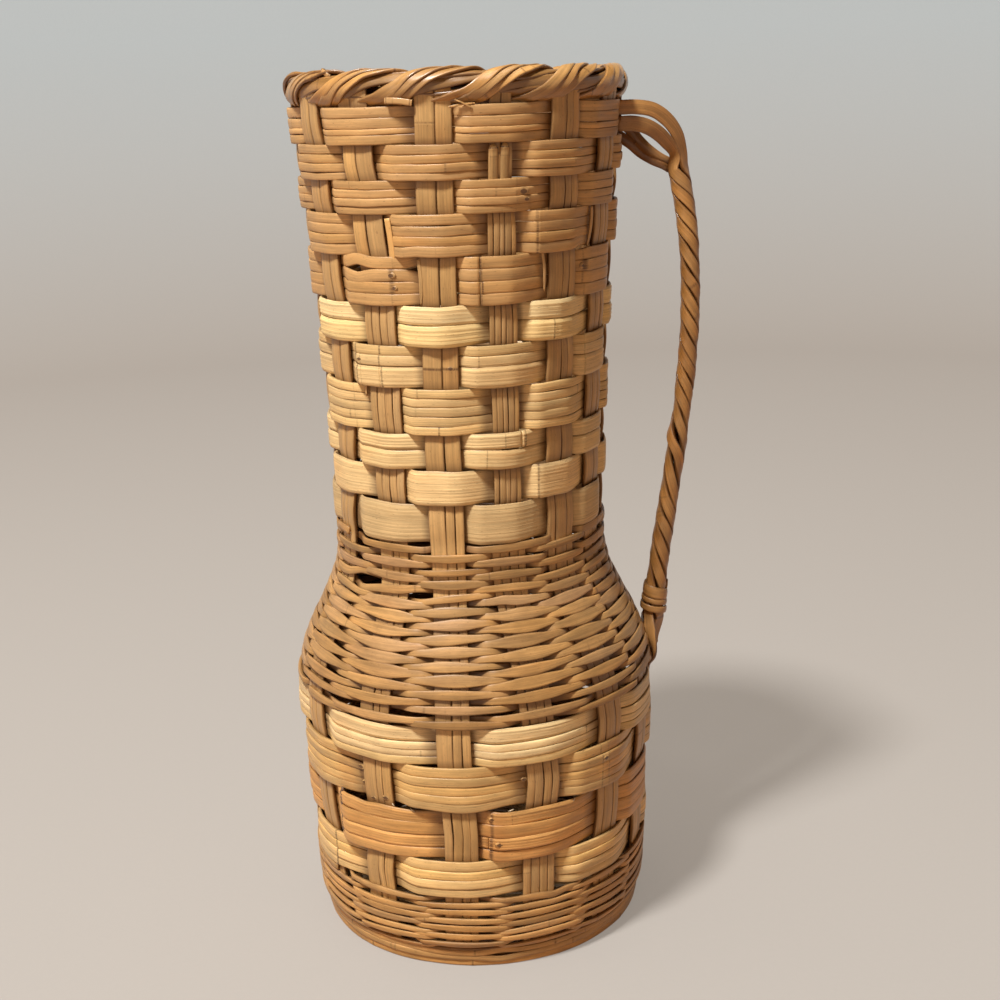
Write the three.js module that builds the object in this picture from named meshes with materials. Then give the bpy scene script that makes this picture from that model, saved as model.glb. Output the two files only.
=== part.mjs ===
// Wicker pitcher vase: a tall basket with a plaited base, a round belly, a drawn-in neck, a rope rim
// and one twisted cane handle. Millimetres and degrees, +Z up, azimuth 0 at the front (-Y) and 90 at +X.
// Fourteen upright stakes are the two ends of seven strips, which cross under the vase in a plain check.
// Closed bands and long fine canes pass over one stake and under the next, all the way up.
import * as THREE from "three";

// Stakes
const STRIPS_LENGTHWISE = 4;
const STRIPS_CROSSWISE = 3;
const STAKE_WIDTH = 20;
const STAKE_THICKNESS = 2.2;
const FIRST_STAKE_AZIMUTH = -59;
const FRONT_STAKES = 6;
const FRONT_STAKE_PITCH = 24.5;

// Clearances
const WEAVE_GAP = 0.4;
const ROW_GAP = 0.7;
const SEAT_GAP = 0.35;
const TURN_ROOM = 0.8;
const JOINT_GAP = 0.6;

// Base and heel
const BASE_SPACING = 6;
const BASE_FAN_LENGTH = 6;
const HEEL_CURVE_RADIUS = 10;
const HEEL_RADIUS = 98;
const FOOT_RING_WIDTH = 9;
const FOOT_RING_HEIGHT = 6;
const FOOT_RING_INSET = 1;
const HEEL_WEAVE_START = 14;
const HEEL_WEAVE_HEIGHT = 47;
const HEEL_ROW_PITCH = 6;

// Body, shoulder and neck: the radii are those of the middle of the stakes
const HEEL_FLARE = 1.3;
const BELLY_SWELL = 4.7;
const NECK_RADIUS = 76.3;
const NECK_BOW_RADIUS = 78.2;
const MOUTH_RADIUS = 90.2;
const BODY_BAND_HEIGHTS = [22.5, 31.5, 27.5, 22.5];
const NECK_BAND_HEIGHTS = [22.5, 19.5, 20, 25, 23, 21.5, 25.5, 22, 17, 18, 19];
const SHOULDER_WEAVE_HEIGHT = 97;
const SHOULDER_CURVE_HEIGHT = 81;
const SHOULDER_ROW_PITCH = 4.85;

// Weavers
const BAND_THICKNESS = 1.5;
const FINE_CANE_WIDTH = 4.2;
const HEEL_CANE_WIDTH = 5;
const FINE_CANE_THICKNESS = 2;
const SHOULDER_CANE_LENGTHS = 5;
const HEEL_CANE_LENGTHS = 3;

// Rim: a two-ply rope, with one lobe showing for each stake
const RIM_WIDTH = 15;
const RIM_HEIGHT = 18;
const RIM_INSET = 3;
const RIM_STEPS_PER_TURN = 8;
const RIM_PHASE = 20;

// Handle: four strips twisted into a rope, hooked round one stake at the top and tucked in at the belly
const HANDLE_STAKE = 6;
const HOOK_BAND = 1;
const LEG_BAND = 2;
const ROPE_DIAMETER = 11.2;
const ROPE_TURNS = 5;
const ROPE_STEPS_PER_TURN = 8;
const PLY_GAP = 0.4;
const HANDLE_FOOT_RISE = 26;
const HANDLE_FOOT_STANDOFF = 5.3;
const HANDLE_FOOT_LEAN = 9.1;
const HANDLE_HEAD_DROP = 31;
const HANDLE_HEAD_STANDOFF = 34.1;
const HANDLE_HEAD_LEAN = 19.8;
const STRIP_THICKNESS = 1.7;
const HOOK_WIDTH = 8;
const HOOK_GAP = 0.8;
const HOOK_REACH = 6;
const HOOK_PULL = 14;
const FAN_PULL = 20;
const LEG_WIDTH = 4.6;
const LEG_PITCH = 5;
const LEG_TUCK = 24;
const LEG_TOUCH_OUTER = 6;
const LEG_TOUCH_INNER = 15;
const BINDING_TURNS = 3;
const BINDING_PITCH = 5.2;
const BINDING_WIDTH = 4.4;
const BINDING_THICKNESS = 1.6;

// Colours
const HONEY = 0xb9803f;
const STRAW = 0xd9b877;
const TAN = 0xc79a5b;
const BROWN = 0xa9713a;

const radians = THREE.MathUtils.degToRad;
const mix = THREE.MathUtils.lerp;

// Directions on the ground: away from the axis, and sideways in the sense of growing azimuth.
function outward(azimuth) {
  return new THREE.Vector3(Math.sin(azimuth), -Math.cos(azimuth), 0);
}

function sideways(azimuth) {
  return new THREE.Vector3(Math.cos(azimuth), Math.sin(azimuth), 0);
}

function place(azimuth, r, z, side = 0) {
  return outward(azimuth).multiplyScalar(r).addScaledVector(sideways(azimuth), side).setZ(z);
}

// A closed solid through a row of rings with the same number of points: a loop, or a bar with flat ends.
// Each side of the bar is split along one diagonal, and along the other one on the edges in turned.
function loft(rings, { closed = false, turned = [] } = {}) {
  const size = rings[0].length;
  const position = rings.flat().flatMap((p) => [p.x, p.y, p.z]);
  const index = [];
  const spans = closed ? rings.length : rings.length - 1;
  for (let i = 0; i < spans; i++) {
    const here = i * size;
    const next = ((i + 1) % rings.length) * size;
    for (let j = 0; j < size; j++) {
      const k = (j + 1) % size;
      if (turned.includes(j)) {
        index.push(here + j, here + k, next + j, here + k, next + k, next + j);
      } else {
        index.push(here + j, here + k, next + k, here + j, next + k, next + j);
      }
    }
  }
  if (!closed) {
    const last = (rings.length - 1) * size;
    for (let j = 1; j < size - 1; j++) {
      index.push(0, j + 1, j);
      index.push(last, last + j, last + j + 1);
    }
  }
  if (enclosedVolume(position, index) < 0) index.reverse();
  const geometry = new THREE.BufferGeometry();
  geometry.setAttribute("position", new THREE.Float32BufferAttribute(position, 3));
  geometry.setIndex(index);
  geometry.computeVertexNormals();
  return geometry;
}

function enclosedVolume(position, index) {
  const corner = (i) => new THREE.Vector3().fromArray(position, 3 * index[i]);
  let sum = 0;
  for (let i = 0; i < index.length; i += 3) {
    sum += corner(i).dot(corner(i + 1).cross(corner(i + 2)));
  }
  return sum / 6;
}

// Layers of the weave, measured square to the middle of a stake
const stakeCount = 2 * (STRIPS_LENGTHWISE + STRIPS_CROSSWISE);
const bandOffset = STAKE_THICKNESS / 2 + WEAVE_GAP + BAND_THICKNESS / 2;
const caneOffset = STAKE_THICKNESS / 2 + WEAVE_GAP + FINE_CANE_THICKNESS / 2;
const stripOffset = STAKE_THICKNESS / 2 + WEAVE_GAP + STRIP_THICKNESS / 2;
const bandOverStripOffset = bandOffset + STRIP_THICKNESS + WEAVE_GAP;
const stripOverCaneOffset = stripOffset + FINE_CANE_THICKNESS + WEAVE_GAP;

// Levels, from the ground up
const total = (list) => list.reduce((sum, x) => sum + x, 0);
const baseLevel = FOOT_RING_HEIGHT + SEAT_GAP + caneOffset + FINE_CANE_THICKNESS / 2;
const heelTop = HEEL_WEAVE_HEIGHT;
const bodyTop = heelTop + total(BODY_BAND_HEIGHTS);
const shoulderTop = bodyTop + SHOULDER_WEAVE_HEIGHT;
const neckTop = shoulderTop + total(NECK_BAND_HEIGHTS);

// Radii of the body, each out from the one below it
const heelTopRadius = HEEL_RADIUS + HEEL_FLARE;
const bellyRadius = heelTopRadius + BELLY_SWELL;

// The plaited square under the vase
const basePitch = STAKE_WIDTH + BASE_SPACING;
const lengthwiseEdge = ((STRIPS_CROSSWISE - 1) / 2) * basePitch + STAKE_WIDTH / 2;
const crosswiseEdge = ((STRIPS_LENGTHWISE - 1) / 2) * basePitch + STAKE_WIDTH / 2;
const outermostCrosswise = ((STRIPS_CROSSWISE - 1) / 2) * basePitch;
const fanRadius = Math.hypot(outermostCrosswise, crosswiseEdge) + BASE_FAN_LENGTH + TURN_ROOM;

// The wall as a chain of knots, from the base out and up. s is the distance along it.
const wall = [];
function knot(r, z) {
  const before = wall.at(-1);
  const s = before ? before.s + Math.hypot(r - before.r, z - before.z) : 0;
  wall.push({ r, z, s });
}

function smooth(t) {
  return t * t * (3 - 2 * t);
}

function heelKnots() {
  const centre = { r: HEEL_RADIUS - HEEL_CURVE_RADIUS, z: baseLevel + HEEL_CURVE_RADIUS };
  const steps = 5;
  knot(fanRadius, baseLevel);
  for (let i = 0; i <= steps; i++) {
    const turn = (i / steps) * (Math.PI / 2);
    knot(centre.r + HEEL_CURVE_RADIUS * Math.sin(turn), centre.z - HEEL_CURVE_RADIUS * Math.cos(turn));
  }
  knot(heelTopRadius, heelTop);
}

function bodyRadius(z) {
  return mix(heelTopRadius, bellyRadius, smooth((z - heelTop) / (bodyTop - heelTop)));
}

function shoulderRadius(z) {
  return mix(bellyRadius, NECK_RADIUS, smooth(Math.min(1, (z - bodyTop) / SHOULDER_CURVE_HEIGHT)));
}

function neckRadius(z) {
  const t = (z - shoulderTop) / (neckTop - shoulderTop);
  return mix(mix(NECK_RADIUS, NECK_BOW_RADIUS, t), mix(NECK_BOW_RADIUS, MOUTH_RADIUS, t), t);
}

// A knot at every second boundary between bands, so that each band lies on one straight piece of wall.
function bandKnots(bottom, heights, radius) {
  let z = bottom;
  heights.forEach((height, i) => {
    z += height;
    if (i % 2 === 1 || i === heights.length - 1) knot(radius(z), z);
  });
}

function shoulderKnots() {
  const steps = 8;
  for (let i = 1; i <= steps; i++) {
    const z = bodyTop + (i / steps) * SHOULDER_WEAVE_HEIGHT;
    knot(shoulderRadius(z), z);
  }
}

heelKnots();
bandKnots(heelTop, BODY_BAND_HEIGHTS, bodyRadius);
shoulderKnots();
bandKnots(shoulderTop, NECK_BAND_HEIGHTS, neckRadius);

// The lean of each straight piece, and of each knot between two of them: 0 faces out, -90 degrees down.
function leanOfPiece(i) {
  const a = wall[i];
  const b = wall[i + 1];
  return Math.atan2(a.r - b.r, b.z - a.z);
}

function leanOfKnot(i) {
  const below = leanOfPiece(Math.max(0, i - 1));
  const above = leanOfPiece(Math.min(wall.length - 2, i));
  return (below + above) / 2;
}

function pieceAt(s) {
  let i = 0;
  while (i < wall.length - 2 && s > wall[i + 1].s) i++;
  return i;
}

// The middle of the wall at a distance s, with the lean eased from knot to piece to knot.
function wallAt(s) {
  const i = pieceAt(s);
  const t = (s - wall[i].s) / (wall[i + 1].s - wall[i].s);
  const piece = leanOfPiece(i);
  const lean = t < 0.5 ? mix(leanOfKnot(i), piece, 2 * t) : mix(piece, leanOfKnot(i + 1), 2 * t - 1);
  return { r: mix(wall[i].r, wall[i + 1].r, t), z: mix(wall[i].z, wall[i + 1].z, t), lean };
}

function distanceAtHeight(z) {
  let i = wall.length - 2;
  while (i > 1 && z < wall[i].z) i--;
  return mix(wall[i].s, wall[i + 1].s, (z - wall[i].z) / (wall[i + 1].z - wall[i].z));
}

// A point off the wall: up along the wall by rise, and out of it by offset.
function offWall(at, azimuth, side, rise, offset) {
  const r = at.r + Math.cos(at.lean) * offset - Math.sin(at.lean) * rise;
  const z = at.z + Math.sin(at.lean) * offset + Math.cos(at.lean) * rise;
  return place(azimuth, r, z, side);
}

// The stakes stand evenly in the body. In the neck the front ones stand a little closer together.
function stakeAzimuth(stake, z) {
  const inBody = FIRST_STAKE_AZIMUTH + (stake * 360) / stakeCount;
  const frontSpan = (FRONT_STAKES - 1) * FRONT_STAKE_PITCH;
  const backPitch = (360 - frontSpan) / (stakeCount - FRONT_STAKES + 1);
  const past = Math.max(0, stake - FRONT_STAKES + 1);
  const inNeck = FIRST_STAKE_AZIMUTH + (stake - past) * FRONT_STAKE_PITCH + past * backPitch;
  const t = THREE.MathUtils.clamp((z - bodyTop) / (shoulderTop - bodyTop), 0, 1);
  return radians(mix(inBody, inNeck, smooth(t)));
}

// Stakes: one strip runs down one wall, across the base and up another wall.
function stakeRing(at, azimuth, sense, thickness) {
  const half = STAKE_WIDTH / 2;
  return [
    [-half, -1],
    [half, -1],
    [half, 1],
    [-half, 1],
  ].map(([side, face]) => offWall(at, azimuth, sense * side, 0, (face * thickness) / 2));
}

function stakeWallRings(stake, sense) {
  return wall.map((at, i) => {
    const below = leanOfPiece(Math.max(0, i - 1));
    const lean = leanOfKnot(i);
    const mitred = STAKE_THICKNESS / Math.cos(lean - below);
    return stakeRing({ ...at, lean }, stakeAzimuth(stake, at.z), sense, mitred);
  });
}

// In the check, a strip steps over and under the strips that cross it. Height is positive for over.
function checkRings(lengthwise, lane, crossings, isOver, turn) {
  const level = (STAKE_THICKNESS + WEAVE_GAP) / 2;
  const half = STAKE_WIDTH / 2;
  const run = half + TURN_ROOM;
  const rings = [];
  for (let j = crossings - 1; j >= 0; j--) {
    const middle = (j - (crossings - 1) / 2) * basePitch;
    const z = baseLevel + (isOver(j) ? level : -level);
    for (const travel of [middle + run, middle - run]) {
      rings.push(
        [
          [-half, 1],
          [half, 1],
          [half, -1],
          [-half, -1],
        ].map(([side, face]) => {
          const u = lengthwise ? travel : lane - side;
          const v = lengthwise ? lane + side : travel;
          return place(turn, u, z + (face * STAKE_THICKNESS) / 2, v);
        }),
      );
    }
  }
  return rings;
}

function stakeStrip(startStake, endStake, middleRings) {
  const down = stakeWallRings(startStake, 1).reverse();
  const up = stakeWallRings(endStake, -1);
  return loft([...down, ...middleRings, ...up]);
}

function stakeStrips() {
  const along = STRIPS_LENGTHWISE;
  const across = STRIPS_CROSSWISE;
  const turn = stakeAzimuth(HANDLE_STAKE - 0.5, 0);
  const first = HANDLE_STAKE - along / 2;
  const wrap = (stake) => ((stake % stakeCount) + stakeCount) % stakeCount;
  const strips = [];
  for (let i = 0; i < along; i++) {
    const lane = (i - (along - 1) / 2) * basePitch;
    const rings = checkRings(true, lane, across, (j) => (i + j) % 2 === 0, turn);
    strips.push(stakeStrip(wrap(first + i), wrap(first + 2 * along + across - 1 - i), rings));
  }
  for (let j = 0; j < across; j++) {
    const lane = (j - (across - 1) / 2) * basePitch;
    const rings = checkRings(false, lane, along, (i) => (i + j) % 2 === 1, turn);
    strips.push(stakeStrip(wrap(first + along + across - 1 - j), wrap(first + 2 * along + across + j), rings));
  }
  return strips;
}

// Bands: closed hoops of flat cane, straight across each stake and slanting from one stake to the next.
// A band that holds handle strips to their stake stands off by their layer, over a stretch wider by stripRoom.
function band(bottom, top, row, stripRoom = null) {
  const low = wallAt(distanceAtHeight(bottom + ROW_GAP / 2));
  const high = wallAt(distanceAtHeight(top - ROW_GAP / 2));
  const lean = leanOfPiece(pieceAt(distanceAtHeight((bottom + top) / 2)));
  const rings = [];
  for (let stake = 0; stake < stakeCount; stake++) {
    const over = (row + stake) % 2 === 0;
    const holdsStrips = stripRoom !== null && stake === HANDLE_STAKE;
    const offset = (over ? 1 : -1) * (holdsStrips ? bandOverStripOffset : bandOffset);
    const reach = STAKE_WIDTH / 2 + TURN_ROOM + (holdsStrips ? stripRoom : 0);
    for (const side of [-reach, reach]) {
      const corner = (at, face) => {
        const azimuth = stakeAzimuth(stake, at.z);
        return offWall({ ...at, lean }, azimuth, side, 0, offset + (face * BAND_THICKNESS) / 2);
      };
      rings.push([corner(low, -1), corner(low, 1), corner(high, 1), corner(high, -1)]);
    }
  }
  return loft(rings, { closed: true });
}

// Fine canes: two half-round canes chase each other round, one over the even stakes, one over the odd.
// Each is pieced from several lengths, whose ends meet behind a stake.
function caneRing(at, azimuth, side, offset, width) {
  const half = FINE_CANE_THICKNESS / 2;
  return [
    [-width / 2, -half],
    [width / 2, -half],
    [0, half],
  ].map(([rise, out]) => offWall(at, azimuth, side, rise, offset + out));
}

function chasingCane(start, end, width, firstStake, turns, lengths) {
  const reach = STAKE_WIDTH / 2 + TURN_ROOM;
  const stations = Math.round(turns * stakeCount);
  const ringAt = (i, side) => {
    const travel = (i + 0.5 + (side / reach) * 0.2) / (stations + 1);
    const at = wallAt(mix(start + width / 2, end - width / 2, travel));
    const offset = i % 2 === 0 ? caneOffset : -caneOffset;
    return caneRing(at, stakeAzimuth((firstStake + i) % stakeCount, at.z), side, offset, width);
  };
  const jointBehind = (n) => 2 * Math.floor((n * stations) / (2 * lengths)) + 1;
  return Array.from({ length: lengths }, (_, n) => {
    const isFirst = n === 0;
    const isLast = n === lengths - 1;
    const from = isFirst ? 0 : jointBehind(n);
    const to = isLast ? stations : jointBehind(n + 1);
    const rings = [];
    for (let i = from; i <= to; i++) {
      rings.push(ringAt(i, i === from && !isFirst ? JOINT_GAP / 2 : -reach));
      rings.push(ringAt(i, i === to && !isLast ? -JOINT_GAP / 2 : reach));
    }
    return loft(rings);
  });
}

function caneTurns(start, end, pitch) {
  return (end - start - pitch) / (2 * pitch);
}

// Foot ring: a heavy cane under the heel, flat where the vase stands.
function footRing() {
  const outer = HEEL_RADIUS - FOOT_RING_INSET;
  const inner = outer - FOOT_RING_WIDTH;
  const middle = (outer + inner) / 2;
  const flat = FOOT_RING_WIDTH / 4;
  const profile = [
    new THREE.Vector2(middle - flat, 0),
    new THREE.Vector2(middle + flat, 0),
    new THREE.Vector2(outer, FOOT_RING_HEIGHT / 2),
    new THREE.Vector2(middle + flat, FOOT_RING_HEIGHT),
    new THREE.Vector2(middle - flat, FOOT_RING_HEIGHT),
    new THREE.Vector2(inner, FOOT_RING_HEIGHT / 2),
  ];
  const steps = 2 * stakeCount;
  const rings = Array.from({ length: steps }, (_, i) =>
    profile.map((p) => place((i / steps) * 2 * Math.PI, p.x, p.y)),
  );
  return loft(rings, { closed: true });
}

// Rim: each ply is a rounded half of the rope, and the two turn round each other once for two stakes.
const rimRadius = MOUTH_RADIUS - RIM_INSET;
const stakeUnderRim = (RIM_INSET - STAKE_THICKNESS / 2) / (RIM_WIDTH / 2);
const rimLevel = neckTop + SEAT_GAP + (RIM_HEIGHT / 2) * Math.sqrt(1 - stakeUnderRim ** 2);

function rimPly(half) {
  const seam = PLY_GAP / RIM_HEIGHT;
  const section = [
    [-0.7, seam],
    [0.7, seam],
    [0.93, 0.3],
    [0.73, 0.69],
    [0, 1],
    [-0.73, 0.69],
    [-0.93, 0.3],
  ];
  const turns = stakeCount / 2;
  const steps = turns * RIM_STEPS_PER_TURN;
  const rings = [];
  for (let i = 0; i < steps; i++) {
    const azimuth = (i / steps) * 2 * Math.PI;
    const twist = turns * azimuth + radians(RIM_PHASE) + half * Math.PI;
    rings.push(
      section.map(([x, y]) => {
        const out = x * Math.cos(twist) - y * Math.sin(twist);
        const up = x * Math.sin(twist) + y * Math.cos(twist);
        return place(azimuth, rimRadius + (out * RIM_WIDTH) / 2, rimLevel + (up * RIM_HEIGHT) / 2);
      }),
    );
  }
  return loft(rings, { closed: true, turned: half ? [0] : [] });
}

// Handle: its middle line stands in the plane halfway between the neck and the body end of its stake.
const hookTop = neckTop - ROW_GAP - SEAT_GAP;
const hookLevel = hookTop - HOOK_WIDTH - HOOK_GAP / 2;
const ropeAzimuth = (stakeAzimuth(HANDLE_STAKE, 0) + stakeAzimuth(HANDLE_STAKE, neckTop)) / 2;
const ropeFoot = new THREE.Vector2(bellyRadius + HANDLE_FOOT_STANDOFF, bodyTop + HANDLE_FOOT_RISE);
const ropeHead = new THREE.Vector2(MOUTH_RADIUS + HANDLE_HEAD_STANDOFF, hookLevel - HANDLE_HEAD_DROP);
const ropeLine = new THREE.CubicBezierCurve(
  ropeFoot,
  new THREE.Vector2(ropeFoot.x + HANDLE_FOOT_LEAN, mix(ropeFoot.y, ropeHead.y, 1 / 3)),
  new THREE.Vector2(ropeHead.x + HANDLE_HEAD_LEAN, mix(ropeFoot.y, ropeHead.y, 2 / 3)),
  ropeHead,
);

// A ring of five points: a flat or cut back with two corners, and a crowned front with three.
function crownedRing(origin, across, front, section) {
  return section.map(([a, b]) => origin.clone().addScaledVector(across, a).addScaledVector(front, b));
}

function stripSection(width, thickness) {
  const shoulder = thickness * 0.2;
  return [
    [-width / 2, -thickness / 2],
    [width / 2, -thickness / 2],
    [width / 2, shoulder],
    [0, thickness / 2],
    [-width / 2, shoulder],
  ];
}

// A quarter of the rope, cut back by half the gap to its neighbours.
function plySection() {
  const radius = ROPE_DIAMETER / 2;
  const cut = PLY_GAP / Math.SQRT2;
  const back = radius * 0.25;
  const corner = Math.sqrt(radius ** 2 / 2) + cut / 2;
  return [
    [-(back - cut), back],
    [back - cut, back],
    [corner - cut, corner],
    [0, radius],
    [-(corner - cut), corner],
  ];
}

// A point of the handle's own plane and how far it stands to the side, with the plane's azimuth.
function ropeFrame(line, t, azimuth) {
  const p = line.getPoint(t);
  const d = line.getTangent(t);
  return {
    origin: place(azimuth, p.x, p.y),
    travel: outward(azimuth).multiplyScalar(d.x).setZ(d.y),
    away: outward(azimuth).multiplyScalar(d.y).setZ(-d.x),
    side: sideways(azimuth),
  };
}

function frontOf(frame, angle) {
  return frame.away.clone().multiplyScalar(Math.cos(angle)).addScaledVector(frame.side, Math.sin(angle));
}

function handleStrand(quarter) {
  const outer = quarter % 3 === 0;
  const far = quarter < 2 ? 1 : -1;
  const plyAngle = radians(45 + 90 * quarter);
  const rings = [...legRings(outer, far), ...twistRings(plyAngle), ...hookRings(outer, far)];
  return loft(rings, { turned: [1] });
}

// The leg: tucked between the stake and a body band, up over the fine weave, then free to the rope.
function legRings(outer, far) {
  const lane = far * LEG_PITCH * (outer ? 0.5 : 1.5);
  const section = stripSection(LEG_WIDTH, STRIP_THICKNESS);
  const seated = [
    [bodyTop - LEG_TUCK - BODY_BAND_HEIGHTS.at(-1), stripOffset],
    [bodyTop - 2 * FINE_CANE_THICKNESS, stripOffset],
    [bodyTop + TURN_ROOM, stripOverCaneOffset],
    [bodyTop + (outer ? LEG_TOUCH_OUTER : LEG_TOUCH_INNER), stripOverCaneOffset],
  ];
  return seated.map(([z, offset]) => {
    const at = wallAt(distanceAtHeight(z));
    const azimuth = stakeAzimuth(HANDLE_STAKE, z);
    const origin = offWall(at, azimuth, lane, 0, offset);
    const face = outer ? 1 : -1;
    const front = outward(azimuth).multiplyScalar(Math.cos(at.lean)).setZ(Math.sin(at.lean));
    const across = sideways(azimuth).multiplyScalar(-face);
    return crownedRing(origin, across, front.multiplyScalar(face), section);
  });
}

function twistRings(plyAngle) {
  const steps = ROPE_TURNS * ROPE_STEPS_PER_TURN;
  const section = plySection();
  const rings = [];
  for (let i = 0; i <= steps; i++) {
    const frame = ropeFrame(ropeLine, i / steps, ropeAzimuth);
    const front = frontOf(frame, plyAngle - (i / steps) * ROPE_TURNS * 2 * Math.PI);
    const across = frame.travel.clone().cross(front).negate();
    rings.push(crownedRing(frame.origin, across, front, section));
  }
  return rings;
}

// The hook: the strip leaves the rope, turns its face to the side, runs to the stake and round its edge.
function hookRings(outer, far) {
  const stakeEnd = stakeAzimuth(HANDLE_STAKE, neckTop);
  const lift = (outer ? 1 : -1) * ((HOOK_WIDTH + HOOK_GAP) / 2);
  const wallEnd = wallAt(distanceAtHeight(hookLevel));
  const clearSide = STAKE_WIDTH / 2 + WEAVE_GAP + STRIP_THICKNESS / 2;
  const headTangent = ropeLine.getTangent(1);
  const landing = new THREE.Vector2(wallEnd.r + HOOK_REACH, hookLevel);
  const fan = new THREE.CubicBezierCurve(
    ropeHead,
    ropeHead.clone().addScaledVector(headTangent, FAN_PULL),
    landing.clone().setX(landing.x + HOOK_PULL),
    landing,
  );
  const rings = [];
  const steps = 5;
  for (let i = 1; i <= steps; i++) {
    const t = i / steps;
    const azimuth = mix(ropeAzimuth, stakeEnd, t);
    const frame = ropeFrame(fan, t, azimuth);
    const angle = far * radians(mix(outer ? 45 : 135, 90, smooth(t)));
    const front = frontOf(frame, angle);
    const across = frame.travel.clone().cross(front).negate();
    const rise = mix(Math.sign(lift) * (ROPE_DIAMETER / 4), lift, t);
    const side = mix(ROPE_DIAMETER / 4, clearSide, smooth(t));
    const origin = frame.origin.addScaledVector(frame.away, rise).addScaledVector(frame.side, far * side);
    const width = mix(LEG_WIDTH, HOOK_WIDTH, t);
    rings.push(crownedRing(origin, across, front, stripSection(width, STRIP_THICKNESS)));
  }
  return [...rings, ...roundStakeRings(hookLevel + lift, far)];
}

// Round the stake's edge in a quarter turn, then flat behind it to its middle.
function roundStakeRings(level, far) {
  const at = wallAt(distanceAtHeight(level));
  const azimuth = stakeAzimuth(HANDLE_STAKE, level);
  const bend = WEAVE_GAP + STRIP_THICKNESS / 2;
  const section = stripSection(HOOK_WIDTH, STRIP_THICKNESS);
  const upright = offWall(at, azimuth, 0, 1, 0).sub(offWall(at, azimuth, 0, 0, 0));
  const stations = [0, 45, 90].map((degrees) => {
    const turn = radians(degrees);
    const side = STAKE_WIDTH / 2 + bend * Math.cos(turn);
    return { side, offset: -STAKE_THICKNESS / 2 - bend * Math.sin(turn), turn };
  });
  stations.push({ side: HOOK_GAP / 2, offset: -STAKE_THICKNESS / 2 - bend, turn: Math.PI / 2 });
  return stations.map(({ side, offset, turn }) => {
    const origin = offWall(at, azimuth, far * side, 0, offset);
    const inwards = offWall(at, azimuth, 0, 0, -1).sub(offWall(at, azimuth, 0, 0, 0));
    const front = sideways(azimuth).multiplyScalar(far * Math.cos(turn));
    front.addScaledVector(inwards, Math.sin(turn));
    return crownedRing(origin, upright.clone().multiplyScalar(far), front, section);
  });
}

// Binding: a strip wound round the foot of the rope.
function handleBinding() {
  const stepsPerTurn = 12;
  const steps = BINDING_TURNS * stepsPerTurn;
  const inside = (ROPE_DIAMETER / 2 + WEAVE_GAP) / Math.cos(Math.PI / stepsPerTurn);
  const ropeLength = ropeLine.getLength();
  const rings = [];
  for (let i = 0; i <= steps; i++) {
    const climb = BINDING_WIDTH / 2 + (i / stepsPerTurn) * BINDING_PITCH;
    const frame = ropeFrame(ropeLine, climb / ropeLength, ropeAzimuth);
    const front = frontOf(frame, (-i / stepsPerTurn) * 2 * Math.PI);
    const section = stripSection(BINDING_WIDTH, BINDING_THICKNESS);
    const origin = frame.origin.addScaledVector(front, inside + BINDING_THICKNESS / 2);
    rings.push(crownedRing(origin, frame.travel, front, section));
  }
  return loft(rings);
}

// Assembly
const vase = new THREE.Group();
vase.name = "wicker_pitcher_vase";

function add(name, geometry, colour) {
  const material = new THREE.MeshStandardMaterial({ color: colour, roughness: 0.55, metalness: 0 });
  const mesh = new THREE.Mesh(geometry, material);
  mesh.name = name;
  vase.add(mesh);
}

stakeStrips().forEach((strip, i) => add(`stake_strip_${i + 1}`, strip, TAN));

let level = heelTop;
BODY_BAND_HEIGHTS.forEach((height, i) => {
  const row = BODY_BAND_HEIGHTS.length - i;
  const legRoom = row === LEG_BAND ? TURN_ROOM : null;
  add(`body_band_${row}`, band(level, level + height, row, legRoom), TAN);
  level += height;
});

level = shoulderTop;
NECK_BAND_HEIGHTS.forEach((height, i) => {
  const row = NECK_BAND_HEIGHTS.length - i;
  const hookRoom = row === HOOK_BAND ? STRIP_THICKNESS + 2 * WEAVE_GAP + TURN_ROOM : null;
  const name = `neck_band_${String(row).padStart(2, "0")}`;
  add(name, band(level, level + height, row, hookRoom), row > 5 ? STRAW : TAN);
  level += height;
});

for (const [letter, firstStake] of [["a", 0], ["b", stakeCount / 2]]) {
  const start = distanceAtHeight(bodyTop) + ROW_GAP / 2;
  const end = distanceAtHeight(shoulderTop) - ROW_GAP / 2;
  const turns = caneTurns(start, end, SHOULDER_ROW_PITCH);
  chasingCane(start, end, FINE_CANE_WIDTH, firstStake, turns, SHOULDER_CANE_LENGTHS).forEach((cane, i) =>
    add(`shoulder_cane_${letter}${i + 1}`, cane, TAN),
  );
}

for (const [letter, firstStake] of [["a", 0], ["b", stakeCount / 2]]) {
  const start = wall[1].s - HEEL_WEAVE_START;
  const end = distanceAtHeight(heelTop) - ROW_GAP / 2;
  const turns = caneTurns(start, end, HEEL_ROW_PITCH);
  chasingCane(start, end, HEEL_CANE_WIDTH, firstStake, turns, HEEL_CANE_LENGTHS).forEach((cane, i) =>
    add(`heel_cane_${letter}${i + 1}`, cane, TAN),
  );
}

add("foot_ring", footRing(), HONEY);
add("rim_ply_a", rimPly(0), HONEY);
add("rim_ply_b", rimPly(1), HONEY);
for (let quarter = 0; quarter < 4; quarter++) {
  add(`handle_strand_${quarter + 1}`, handleStrand(quarter), BROWN);
}
add("handle_binding", handleBinding(), HONEY);

// The origin is under the middle of the whole outline, on the ground.
const outline = new THREE.Box3().setFromObject(vase);
const middle = outline.getCenter(new THREE.Vector3());
vase.children.forEach((mesh) => mesh.geometry.translate(-middle.x, -middle.y, -outline.min.z));

export default vase;
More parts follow.
